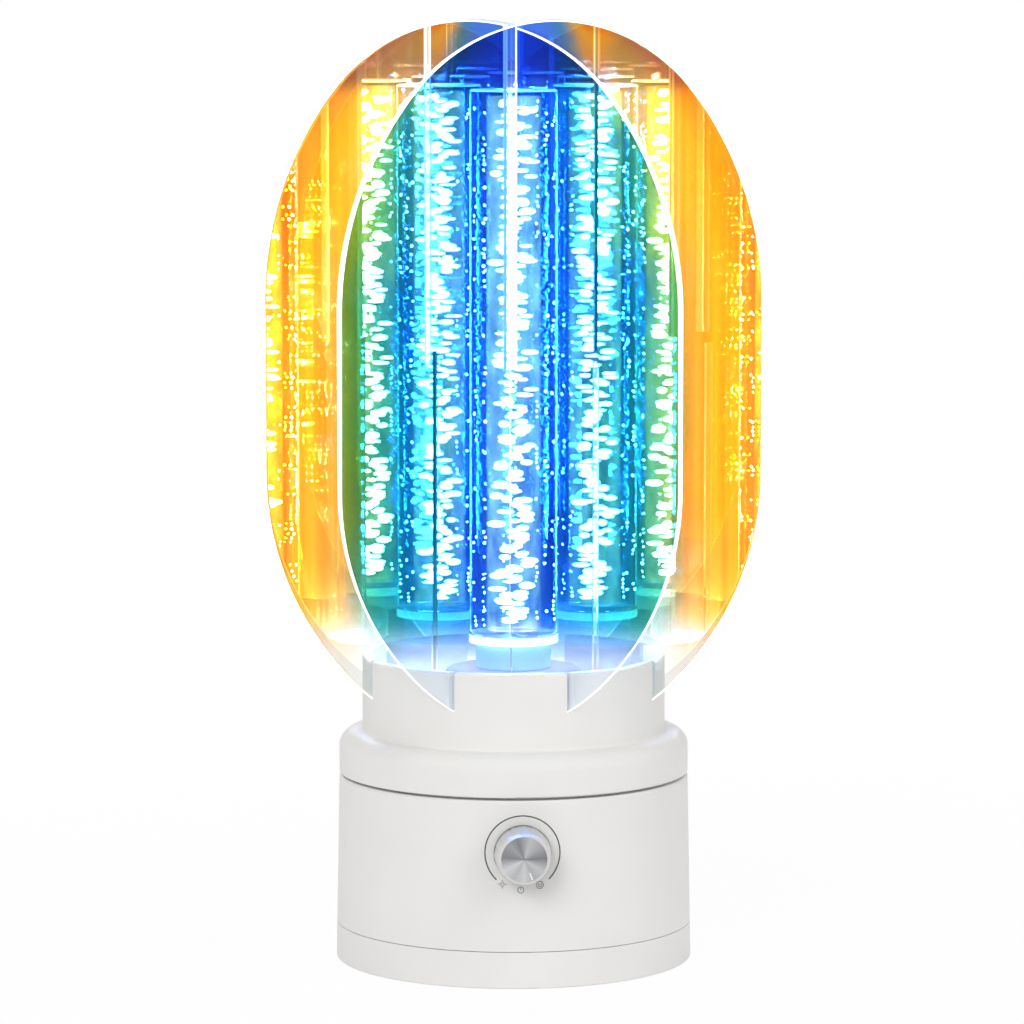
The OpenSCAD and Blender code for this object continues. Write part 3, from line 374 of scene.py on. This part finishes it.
def glow_through(t, strength, colour, soft):
    """Light added to what lies behind: full where the surface faces the eye, and fading
    at its outline."""
    facing = node(t, "LayerWeight", Blend=0.5)
    full = node(t, "MapRange", settings={"interpolation_type": "SMOOTHSTEP"},
                links={"Value": facing.outputs["Facing"]}, From_Min=1.0, From_Max=1.0 - soft)
    power = node(t, "Math", settings={"operation": "MULTIPLY"},
                 links={0: full.outputs[0], 1: strength})
    light = node(t, "Emission", links={"Strength": power.outputs[0]}, Color=colour)
    clear = node(t, "BsdfTransparent", Color=(1, 1, 1, 1))
    both = node(t, "AddShader", links={0: clear.outputs[0], 1: light.outputs[0]})
    node(t, "OutputMaterial", links={"Surface": both.outputs[0]})


def bubble_light():
    """Air bubbles in the rod: each throws the light from below straight at the eye, and so
    strongly that it still shows after several passes through the film."""
    m, t = new_material("bubble_light")
    place = node(t, "TexCoord").outputs["Object"]
    split = node(t, "SeparateXYZ", links={0: place})
    up = node(t, "MapRange", links={"Value": split.outputs["Z"]},
              From_Min=ROD_BOTTOM * MM, From_Max=ROD_TOP * MM, To_Min=260.0, To_Max=200.0)
    glow_through(t, up.outputs[0], srgb("FFF2E4"), 0.9)
    m.cycles.emission_sampling = "NONE"
    return m


def haze_light():
    """Fine haze round the rod's axis, between the bubbles: it holds the light in clots."""
    m, t = new_material("bubble_haze")
    place = node(t, "TexCoord").outputs["Object"]
    # Clots some 4 mm wide and 8 mm high
    flat = node(t, "Mapping", links={"Vector": place}, Scale=(1, 1, 0.5))
    clot = node(t, "TexNoise", links={"Vector": flat.outputs[0]}, Scale=1 / (4 * MM), Detail=3.0)
    strength = node(t, "MapRange", links={"Value": clot.outputs["Fac"]},
                    From_Min=0.35, From_Max=0.65, To_Min=2.5, To_Max=12.0)
    glow_through(t, strength.outputs[0], srgb("FF9A50"), 0.5)
    m.cycles.emission_sampling = "NONE"
    return m


# Half the height, in millimetres, over which one glow changes into the other
GLOW_STEP = 0.15
# The rod's seat glows up to just below the rod
SEAT_GLOW_TOP = ROD_BOTTOM - 0.2


def glowing_plastic(name, colour, glow, split_z=0.0, glow_above=None, body="E8EEF8",
                    body_above=None):
    """Frosted plastic lit from behind: even and soft. Above the height split_z, in
    millimetres, its glow and its body colour may be others."""
    m, t = new_material(name)
    place = node(t, "TexCoord").outputs["Object"]
    cloud = node(t, "TexNoise", links={"Vector": place}, Scale=1 / (6 * MM), Detail=2.0)
    uneven = node(t, "MapRange", links={"Value": cloud.outputs["Fac"]}, To_Min=0.9, To_Max=1.1)
    height = node(t, "SeparateXYZ", links={0: place}).outputs["Z"]
    above = node(t, "MapRange", links={"Value": height}, From_Min=(split_z - GLOW_STEP) * MM,
                 From_Max=(split_z + GLOW_STEP) * MM)
    level = node(t, "MapRange", links={"Value": above.outputs[0]}, To_Min=glow,
                 To_Max=glow if glow_above is None else glow_above)
    power = node(t, "Math", settings={"operation": "MULTIPLY"},
                 links={0: uneven.outputs[0], 1: level.outputs[0]})
    links = {"Emission Strength": power.outputs[0]}
    if body_above:
        tones = node(t, "ValToRGB", links={"Fac": above.outputs[0]},
                     stops=[(0.0, body), (1.0, body_above)])
        links["Base Color"] = tones.outputs[0]
    p = node(t, "BsdfPrincipled", links=links, Base_Color=srgb(body), Roughness=0.8,
             Specular_IOR_Level=0.05, Emission_Color=srgb(colour))
    node(t, "OutputMaterial", links={"Surface": p.outputs[0]})
    return m


PLATE_FINISH = [dichroic_film(), clear_face(), lit_edge("lit_acrylic_rim", "FBEFE4", 0.8),
                lit_edge("lit_acrylic_slot_wall", "FFFDFA", 2.0),
                lit_edge("lit_acrylic_border", "FFFDF8", 1.3)]
# Places of these in a plate's list of materials
FILM, CLEAR, RIM, SLOT_WALL, BORDER = range(5)

CAD_FINISH = {
    moulded_abs(): ["bottom_cover", "base_housing", "turning_collar", "collar_floor"],
    satin_metal(): ["knob_body"],
    spun_metal(): ["knob_cap"],
    plain_metal("plain_steel", "9A9B9E", 0.32): [
        "cover_screws", "steel_weight", "board_screws", "power_socket", "spindle_screws",
        "bearing_inner_race", "bearing_outer_race", "retaining_ring", "motor_case",
        "motor_screws", "dial_nut", "gear_screws", "floor_screws", "bearing_balls",
        "motor_shaft", "dial_shaft"],
    plain_metal("turned_aluminium", "B9BABD", 0.3): ["spindle"],
    plain_metal("cage_brass", "B08A3C", 0.3): ["bearing_cage"],
    plain_plastic("soft_rubber", "2A2A2C", "343436", 0.8): ["foot_pad"],
    plain_plastic("black_plastic", "161617", "202022", 0.45): ["board_parts", "dial_sensor"],
    plain_plastic("green_board_laminate", "0E4A2C", "14603A", 0.35): ["control_board"],
    plain_plastic("white_board_laminate", "E6E8E6", "F0F1EF", 0.4): ["light_board"],
    plain_plastic("red_lead_sheath", "8E1510", "A81B14", 0.5): ["light_lead"],
    plain_plastic("acetal_gear", "E6E2D2", "EFECE0", 0.4): ["ring_gear", "drive_pinion"],
    glowing_plastic("chip_light", "FFF6E8", 6.0): ["light_chips"],
    # Painted light: the cover glows strongly on top and faintly below, where its body colour is
    # also darker
    glowing_plastic("frosted_light_cover", "A8DCFB", 0.02, LIGHT_COVER_Z + GLOW_STEP, 0.4,
                    "A6A8D0", "A6D6F2"): ["light_cover"],
    glowing_plastic("lit_rod_seat", "E6FAFF", 5.5, SEAT_GLOW_TOP, 0.3): ["rod_seat"],
    printed_ink("white_paint_line", "F2F2F2"): ["knob_pointer"],
}
for finish, names in CAD_FINISH.items():
    for name in names:
        slots = NODES[name].data.materials
        slots.clear()
        slots.append(finish)


# Meshes

def mesh_from(bm, name):
    """The finished mesh of a bmesh, which is freed."""
    mesh = bpy.data.meshes.new(name)
    bm.to_mesh(mesh)
    bm.free()
    return mesh


def add_piece(name, mesh, materials, body, matrix=None, replaces=()):
    """Puts a mesh in the scene as a piece that rides on a body, with the given materials, and
    hides the parts that it replaces."""
    piece = bpy.data.objects.new(name, mesh)
    bpy.context.scene.collection.objects.link(piece)
    for m in materials:
        mesh.materials.append(m)
    if matrix is not None:
        piece.matrix_world = matrix
    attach(piece, body)
    if replaces:
        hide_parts(*replaces)


def arc(cx, cz, r, start, end, count):
    """Points of an arc without its last one, angles from the right in radians."""
    return [(cx + r * math.cos(start + (end - start) * i / count),
             cz + r * math.sin(start + (end - start) * i / count)) for i in range(count)]


# The oval's end circles: their radius, and how far each end is from the widest height
TOP_R, TOP_RISE = 55.0, 80.3
LOW_R, LOW_RISE = 58.0, 72.4
# The flat bottom ends this far inside the collar's outer face
BOTTOM_SHORT = 0.6


def oval_outline():
    """The plate's outline, counter-clockwise from the right end of its flat bottom."""
    def side_offset(rise, r):
        """How far beyond the middle the centre of a side arc lies."""
        return ((rise - r) ** 2 - (PLATE_HALF_W - r) ** 2) / (2 * (PLATE_HALF_W - r))
    half_flat = COLLAR_R * math.sin(SLOT_ANGLE) - BOTTOM_SHORT
    cut = LOW_R - math.sqrt(LOW_R ** 2 - half_flat ** 2)
    low_z = SLOT_FLOOR + LOW_RISE - cut
    top_z = PLATE_TOP - TOP_RISE
    right = []
    # Lower end circle from the flat bottom, then the lower side arc
    off = side_offset(LOW_RISE, LOW_R)
    joint = -math.atan2(LOW_RISE - LOW_R, off)
    start = -math.acos(half_flat / LOW_R)
    right += arc(0, low_z - (LOW_RISE - LOW_R), LOW_R, start, joint, 20)
    right += arc(-off, low_z, PLATE_HALF_W + off, joint, 0, 24)
    # Upper side arc, then the top circle up to the middle
    off = side_offset(TOP_RISE, TOP_R)
    joint = math.atan2(TOP_RISE - TOP_R, off)
    right += arc(-off, top_z, PLATE_HALF_W + off, 0, joint, 24)
    right += arc(0, top_z + (TOP_RISE - TOP_R), TOP_R, joint, math.pi / 2, 36)
    right.append((0, PLATE_TOP))
    return right + [(-x, z) for x, z in reversed(right[:-1])]


# Where slots open downwards, the other plate fills the one at the crossing, which is
# drawn as a fine line. Its twin stays empty
LAP_LINE = 0.3
TWIN_W = 1.2
# Outline points this near a slot give way to it
SLOT_CLEARING = 0.3
# Below this height the cut edges are clear and only their two corners are lit
FOOT_CLEAR_Z = 100.0
# Heights less than this apart count as the same
SAME_Z = 0.1


def cut_slots(outline, opens_up):
    """The outline with its two slots cut into it: one where the plates cross, and its
    twin on the far side, which stays empty. Also the far wall of a crossing slot that
    opens upwards, and the points of both slots."""
    middle = (SLOT_FLOOR + PLATE_TOP) / 2
    half = (CROSS_W if opens_up else LAP_LINE) / 2
    low, high = CROSS_AT - half, CROSS_AT + half
    twin_low, twin_high = -CROSS_AT - TWIN_W / 2, -CROSS_AT + TWIN_W / 2

    def edge_z(at):
        """Height at which a slot at this place meets the outline."""
        hits = []
        for a, b in zip(outline, outline[1:] + outline[:1]):
            if (a[0] - at) * (b[0] - at) <= 0 and a[0] != b[0]:
                hits.append(a[1] + (b[1] - a[1]) * (at - a[0]) / (b[0] - a[0]))
        return max(hits) if opens_up else min(hits)

    def cut(first, last):
        """Points down one wall of a slot and up the other."""
        foot = [] if opens_up else [FOOT_CLEAR_Z]
        return ([(first, z) for z in [edge_z(first)] + foot + [middle]]
                + [(last, z) for z in [middle] + foot + [edge_z(last)]])

    if opens_up:
        crossing, twin = cut(high, low), cut(twin_high, twin_low)
        points = [p for p in outline if p[1] <= middle
                  or not low - SLOT_CLEARING < abs(p[0]) < high + SLOT_CLEARING]
        for slot, edge in ((crossing, low), (twin, twin_low)):
            at = next(i for i, p in enumerate(points) if p[1] > middle and p[0] < edge)
            points = points[:at] + slot + points[at:]
        far_wall = set(crossing[2:])
    else:
        # The flat bottom closes the outline, so the cuts come after its last point
        crossing, twin = cut(low, high), cut(twin_low, twin_high)
        points = outline + twin + crossing
        far_wall = set()
    return points, far_wall, set(crossing + twin)


def inset(points, widths):
    """The closed line moved to its inner side by a width at each point. A sharp corner
    moves by twice that at most."""
    moved = []
    for i, (x, z) in enumerate(points):
        before, after = points[i - 1], points[(i + 1) % len(points)]
        a = Vector((x - before[0], z - before[1])).normalized()
        b = Vector((after[0] - x, after[1] - z)).normalized()
        side = Vector((-a.y - b.y, a.x + b.x))
        side = side / max(side.dot(Vector((-a.y, a.x))), 0.5)
        moved.append((x + side.x * widths[i], z + side.y * widths[i]))
    return moved


# Width of a sheet's broken edges
BREAK_W = 0.15
# Width of the lit border on the clear face: round the outline, what the near end adds
# between two heights, along the bottom, and along the walls of the slots
RIM_BORDER = 0.25
NEAR_END_BORDER = 0.9
NEAR_END_FROM, NEAR_END_TO = 100, 150
BOTTOM_BORDER = 0.35
FAR_WALL_BORDER = 0.9
UPPER_SLOT_BORDER = 0.3
LOWER_SLOT_BORDER = 0.17


def plate_mesh(name, opens_up, film_side):
    """A sheet with broken edges: the film is on one face and the lit border on the other.
    Film_side is 1 or -1 along local Y."""
    points, far_wall, slot = cut_slots(oval_outline(), opens_up)
    border = []
    for p in points:
        if p in far_wall:
            border.append(FAR_WALL_BORDER)
        elif p in slot:
            border.append(UPPER_SLOT_BORDER if opens_up else LOWER_SLOT_BORDER)
        elif p[1] < SLOT_FLOOR + SAME_Z:
            border.append(BOTTOM_BORDER)
        else:
            # The border widens towards the plate's near end, from some height upwards
            near = max((p[0] / PLATE_HALF_W + 1) / 2, 0)
            high = min(max((p[1] - NEAR_END_FROM) / (NEAR_END_TO - NEAR_END_FROM), 0), 1)
            border.append(RIM_BORDER + NEAR_END_BORDER * near ** 4 * high)
    edge = inset(points, [BREAK_W] * len(points))
    inner = inset(points, border)
    half = PLATE_T / 2
    loops = [(edge, half), (points, half - BREAK_W), (points, BREAK_W - half), (edge, -half),
             (inner, -half)]
    bm = bmesh.new()
    rows = [[bm.verts.new((x * MM, film_side * y * MM, z * MM)) for x, z in line]
            for line, y in loops]
    bm.faces.new(rows[0]).material_index = FILM
    bm.faces.new(rows[-1]).material_index = CLEAR
    # Bands between the loops: a broken edge, the cut edge, a broken edge, the border
    bands = list(zip(rows, rows[1:], (RIM, SLOT_WALL, RIM, BORDER)))
    for a, b, kind in bands:
        for i, p in enumerate(points):
            j = (i + 1) % len(points)
            q = points[j]
            face = bm.faces.new((a[i], a[j], b[j], b[i]))
            wall = p in slot and q in slot and p[0] == q[0]
            lap = not opens_up and p in slot and p[0] > 0
            foot = kind == SLOT_WALL and max(p[1], q[1]) < FOOT_CLEAR_Z + SAME_Z
            if lap or foot:
                face.material_index = CLEAR
            elif wall and not opens_up or kind == SLOT_WALL and not wall:
                face.material_index = RIM
            else:
                face.material_index = kind
    bmesh.ops.recalc_face_normals(bm, faces=bm.faces)
    return mesh_from(bm, name)


# Each plate: its CAD node, the side of its tilt, whether its slots open upwards, and
# whether it is turned round, so that local +X always points to the near end. A plate with
# tilt 1 stands on its own +Y side of the axis, the others on their -Y side
for plate, tilt, opens_up, turned in (("front_left", -1, True, False),
                                      ("front_right", 1, False, True),
                                      ("back_right", -1, True, True),
                                      ("back_left", 1, False, False)):
    angle = HEAD_TURN + tilt * PLATE_TILT + (math.pi if turned else 0)
    matrix = (Matrix.Rotation(angle, 4, "Z")
              @ Matrix.Translation((0, tilt * PLATE_AT * MM, 0)))
    add_piece("film_plate_" + plate, plate_mesh(plate, opens_up, -tilt), PLATE_FINISH,
              "head", matrix, ["plate_" + plate])


def lathe(name, profile, turns=96):
    """Turns a closed profile of (r, z) points round the Z axis."""
    bm = bmesh.new()
    rings = [[bm.verts.new((r * math.cos(2 * math.pi * i / turns) * MM,
                            r * math.sin(2 * math.pi * i / turns) * MM, z * MM))
              for i in range(turns)] if r > 0 else [bm.verts.new((0, 0, z * MM))]
             for r, z in profile]
    for a, b in zip(rings, rings[1:]):
        for i in range(turns):
            j = (i + 1) % turns
            if len(a) == 1:
                bm.faces.new((a[0], b[j], b[i]))
            elif len(b) == 1:
                bm.faces.new((a[i], a[j], b[0]))
            else:
                bm.faces.new((a[i], a[j], b[j], b[i]))
    bmesh.ops.recalc_face_normals(bm, faces=bm.faces)
    for f in bm.faces:
        f.smooth = True
    return mesh_from(bm, name)


ROD_CHAMFER = 0.5
# Rings this far from a chamfer keep the shading of the flats beside it even
EDGE_HOLD = 0.05


def rod_mesh():
    """The rod with chamfered ends. The top chamfer has the second material."""
    c, hold = ROD_CHAMFER, EDGE_HOLD
    mesh = lathe("rod", [(0, ROD_BOTTOM), (ROD_R - c - hold, ROD_BOTTOM),
                         (ROD_R - c, ROD_BOTTOM), (ROD_R, ROD_BOTTOM + c),
                         (ROD_R, ROD_BOTTOM + c + hold), (ROD_R, ROD_TOP - c - hold),
                         (ROD_R, ROD_TOP - c), (ROD_R - c, ROD_TOP),
                         (ROD_R - c - hold, ROD_TOP), (0, ROD_TOP)], 128)
    for face in mesh.polygons:
        if abs(face.normal.z) < 0.9 and face.center.z > (ROD_TOP - c - SAME_Z) * MM:
            face.material_index = 1
    return mesh


BUBBLE_SEED = 7
# The rod's ends, in millimetres, that stay free of large bubbles
CLEAR_END = 3
FINE_ROWS = 8
# Gaps between fine bubbles of a row, in millimetres
FINE_GAPS = (1.2, 1.6, 2.5, 5.0, 9.0, 14.0)


def bubble_mesh():
    """Bubbles of the rod: larger ones round its axis, fine ones in rows near its wall."""
    chance = random.Random(BUBBLE_SEED)
    ball = bmesh.new()
    bmesh.ops.create_icosphere(ball, subdivisions=2, radius=1.0)
    shape = [v.co.copy() for v in ball.verts]
    sides = [[v.index for v in f.verts] for f in ball.faces]
    ball.free()
    verts, faces = [], []

    def bubble(angle, r, z, wide, high):
        """One bubble with its half width and half height."""
        turn = Matrix.Rotation(angle, 3, "Z")
        start = len(verts)
        verts.extend((turn @ Vector((r + co.x * wide, co.y * wide, 0))
                      + Vector((0, 0, z + co.z * high))) * MM for co in shape)
        faces.extend([start + i for i in side] for side in sides)

    top = ROD_TOP - CLEAR_END
    z = ROD_BOTTOM + CLEAR_END
    while z < top:
        bubble(chance.uniform(0, 2 * math.pi), chance.uniform(1.5, 4.8), z,
               chance.uniform(1.4, 2.6), chance.uniform(0.45, 1.1))
        z += chance.uniform(0.5, 1.15)
    for row in range(FINE_ROWS):
        angle = 2 * math.pi * row / FINE_ROWS + chance.uniform(-0.2, 0.2)
        z = ROD_BOTTOM + chance.uniform(2, 6)
        while z < top:
            size = chance.uniform(0.15, 0.32)
            bubble(angle, chance.uniform(10.2, 11.2), z, size, size * 1.3)
            z += chance.choice(FINE_GAPS)
    mesh = bpy.data.meshes.new("bubbles")
    mesh.from_pydata(verts, [], faces)
    mesh.shade_smooth()
    return mesh


HAZE_R = 7.2
HAZE_BOTTOM, HAZE_TOP = ROD_BOTTOM + 1, ROD_TOP - 2
add_piece("acrylic_rod", rod_mesh(), [rod_acrylic(), lit_edge("lit_rod_rim", "FFFFFF", 14.0)],
          "head", replaces=["bubble_rod"])
add_piece("rod_bubbles", bubble_mesh(), [bubble_light()], "head")
add_piece("rod_haze", lathe("haze", [(0, HAZE_BOTTOM), (HAZE_R, HAZE_BOTTOM),
                                     (HAZE_R, HAZE_TOP), (0, HAZE_TOP)]),
          [haze_light()], "head")


# Printed marks round the dial, laid on the housing's curved wall

INK_LIFT = 0.02


def wall_point(x, z):
    """A point just outside the housing's wall, in metres, from its x and z in millimetres."""
    r = BASE_FOOT_R - (BASE_FOOT_R - BASE_TOP_R) * z / SEAM_Z + INK_LIFT
    return Vector((x, -math.sqrt(r * r - x * x), z)) * MM


def print_strokes(name, strokes, width, ink):
    """Strips of ink along lists of (x, z) points measured from the dial's axis. Each stroke
    is a list and whether it closes on itself."""
    bm = bmesh.new()
    for line, closed in strokes:
        n = len(line)
        rows = []
        for i, (x, z) in enumerate(line):
            a = line[(i - 1) % n] if closed or i else line[0]
            b = line[(i + 1) % n] if closed or i < n - 1 else line[-1]
            d = Vector((b[0] - a[0], b[1] - a[1])).normalized()
            off = Vector((-d.y, d.x)) * width / 2
            rows.append([bm.verts.new(wall_point(x + s * off.x, DIAL_Z + z + s * off.y))
                         for s in (-1, 1)])
        pairs = list(zip(rows, rows[1:])) + ([(rows[-1], rows[0])] if closed else [])
        for (a, b), (c, d) in pairs:
            bm.faces.new((a, c, d, b))
    bmesh.ops.recalc_face_normals(bm, faces=bm.faces)
    add_piece(name, mesh_from(bm, name), [ink], "base")


def ring_line(centre, r, start, end, count):
    """Points of an arc, angles clockwise from the top in degrees."""
    out = []
    for i in range(count + 1):
        a = math.radians(start + (end - start) * i / count)
        out.append((centre[0] + r * math.sin(a), centre[1] + r * math.cos(a)))
    return out


# Where the marks are, from the dial's axis, and the width of their lines, in millimetres
ARC_AT, ARC_R, ARC_LINE = (0.05, 0), 10.5, 0.35
STAR_AT, STAR_TIP_R, STAR_WAIST_R = (-5.6, -8.8), 1.25, 0.36
CLOCK_AT, CLOCK_R, CLOCK_HAND = (-0.46, -10.45), 0.85, 0.55
TURN_AT, TURN_R, TURN_INNER_R, TURN_HAND = (4.87, -9.06), 1.0, 0.5, 0.36
FINE_LINE = 0.2
INK = printed_ink("grey_print", "4A4A4C")
FINE_INK = printed_ink("pale_grey_print", "77787A")

print_strokes("printed_dial_arc", [(ring_line(ARC_AT, ARC_R, -136, 135, 96), False)],
              ARC_LINE, INK)
star = []
for i in range(8):
    r = STAR_TIP_R if i % 2 == 0 else STAR_WAIST_R
    a = math.radians(45 * i)
    star.append((STAR_AT[0] + r * math.sin(a), STAR_AT[1] + r * math.cos(a)))
print_strokes("printed_star", [(star, True)], FINE_LINE, FINE_INK)
print_strokes("printed_clock", [(ring_line(CLOCK_AT, CLOCK_R, 0, 345, 24), True),
              ([CLOCK_AT, (CLOCK_AT[0], CLOCK_AT[1] + CLOCK_HAND)], False)],
              FINE_LINE, FINE_INK)
print_strokes("printed_turn", [(ring_line(TURN_AT, TURN_R, 0, 345, 24), True),
              (ring_line(TURN_AT, TURN_INNER_R, 40, 320, 12), False),
              ([TURN_AT, (TURN_AT[0], TURN_AT[1] + TURN_HAND)], False)],
              FINE_LINE, FINE_INK)


# Floor, light and camera

# How white the floor shows near the object, and the distances from the axis, in metres,
# between which it turns pure white
NEAR_WHITE = 0.96
WHITE_FROM, WHITE_BY = 0.15, 0.5
FLOOR_R = 3.0


def seen_share(t):
    """1 for what the eye sees directly, in gloss or through glass, and 0 for light that
    falls on the object."""
    path = node(t, "LightPath")
    seen = node(t, "Math", settings={"operation": "MAXIMUM"},
                links={0: path.outputs["Is Camera Ray"], 1: path.outputs["Is Glossy Ray"]})
    return node(t, "Math", settings={"operation": "MAXIMUM"},
                links={0: seen.outputs[0], 1: path.outputs["Is Transmission Ray"]}).outputs[0]


def pale_stage(name):
    """White studio sweep, which keeps a soft shadow of the object. Away from the object it
    is pure white, so no horizon shows."""
    m, t = new_material(name)
    place = node(t, "TexCoord").outputs["Object"]
    far = node(t, "VectorMath", settings={"operation": "LENGTH"}, links={0: place})
    level = node(t, "MapRange", links={"Value": far.outputs["Value"]}, From_Min=WHITE_FROM,
                 From_Max=WHITE_BY, To_Min=NEAR_WHITE, To_Max=1.0)
    share = node(t, "Math", settings={"operation": "MULTIPLY"},
                 links={0: seen_share(t), 1: level.outputs[0]})
    matte = node(t, "BsdfDiffuse", Color=srgb("F2F2F2"))
    white = node(t, "Emission", Color=(1, 1, 1, 1), Strength=1.0)
    both = node(t, "MixShader", links={0: share.outputs[0], 1: matte.outputs[0],
                2: white.outputs[0]})
    node(t, "OutputMaterial", links={"Surface": both.outputs[0]})
    return m


bm = bmesh.new()
bmesh.ops.create_circle(bm, cap_ends=True, segments=96, radius=FLOOR_R)
floor = bpy.data.objects.new("floor", mesh_from(bm, "floor"))
floor.data.materials.append(pale_stage("white_floor"))
bpy.context.scene.collection.objects.link(floor)

# The room is white to the eye and lights the object at half of that
ROOM_LIGHT = 0.5
world = bpy.data.worlds.new("studio")
bpy.context.scene.world = world
world.use_nodes = True
t = world.node_tree
t.nodes.clear()
strength = node(t, "MapRange", links={"Value": seen_share(t)}, To_Min=ROOM_LIGHT,
                To_Max=1.0)
background = node(t, "Background", links={"Strength": strength.outputs[0]}, Color=(1, 1, 1, 1))
node(t, "OutputWorld", links={"Surface": background.outputs[0]})

LAMP_ACROSS = 0.9
LAMPS_FACE = Vector((0, 0, 0.08))


def soft_lamp(name, place, watts):
    """A round softbox at a place in metres, which lights the object and shows in no mirror."""
    light = bpy.data.lights.new(name, "AREA")
    light.shape = "DISK"
    light.size = LAMP_ACROSS
    light.energy = watts
    lamp = bpy.data.objects.new(name, light)
    lamp.location = place
    lamp.rotation_euler = (LAMPS_FACE - Vector(place)).to_track_quat("-Z", "Y").to_euler()
    lamp.visible_glossy = False
    lamp.visible_camera = False
    bpy.context.scene.collection.objects.link(lamp)


soft_lamp("front_softbox", (-0.7, -1.3, 0.9), 10.5)
soft_lamp("right_softbox", (1.1, -0.8, 0.8), 5.5)
soft_lamp("back_softbox", (-0.2, 1.4, 0.8), 7.0)

# The photograph's camera: its focal length in pixels of the 1024 wide image, its distance
# from the object's axis and its height in metres, and its turn and tilt
IMAGE_PX = 1024
FOCAL_PX = 4900
SENSOR_MM = 36
CAMERA_AWAY = 1.4
CAMERA_Z = 0.2863
CAMERA_YAW = math.radians(-2.8)
CAMERA_TILT = math.radians(6.41)
# The axis shows a little right of the frame's middle, so the camera stands aside by 0.45 mm
CAMERA_ASIDE = -0.45 * MM

camera_data = bpy.data.cameras.new("camera")
camera = bpy.data.objects.new("camera", camera_data)
bpy.context.scene.collection.objects.link(camera)
bpy.context.scene.camera = camera
camera_data.sensor_width = SENSOR_MM
camera_data.lens = FOCAL_PX / IMAGE_PX * SENSOR_MM
camera_data.clip_end = 20
aside = Vector((math.cos(CAMERA_YAW), math.sin(CAMERA_YAW), 0)) * CAMERA_ASIDE
camera.location = Vector((CAMERA_AWAY * math.sin(CAMERA_YAW),
                          -CAMERA_AWAY * math.cos(CAMERA_YAW), CAMERA_Z)) + aside
camera.rotation_euler = (math.pi / 2 - CAMERA_TILT, 0, CAMERA_YAW)

scene = bpy.context.scene
scene.view_settings.view_transform = "Standard"
# Light crosses many sheets and bounces between the films, so the paths are long
scene.cycles.max_bounces = 24
scene.cycles.glossy_bounces = 12
scene.cycles.transmission_bounces = 16
scene.cycles.transparent_max_bounces = 64
scene.cycles.caustics_reflective = False
scene.cycles.caustics_refractive = False
scene.cycles.sample_clamp_indirect = 0
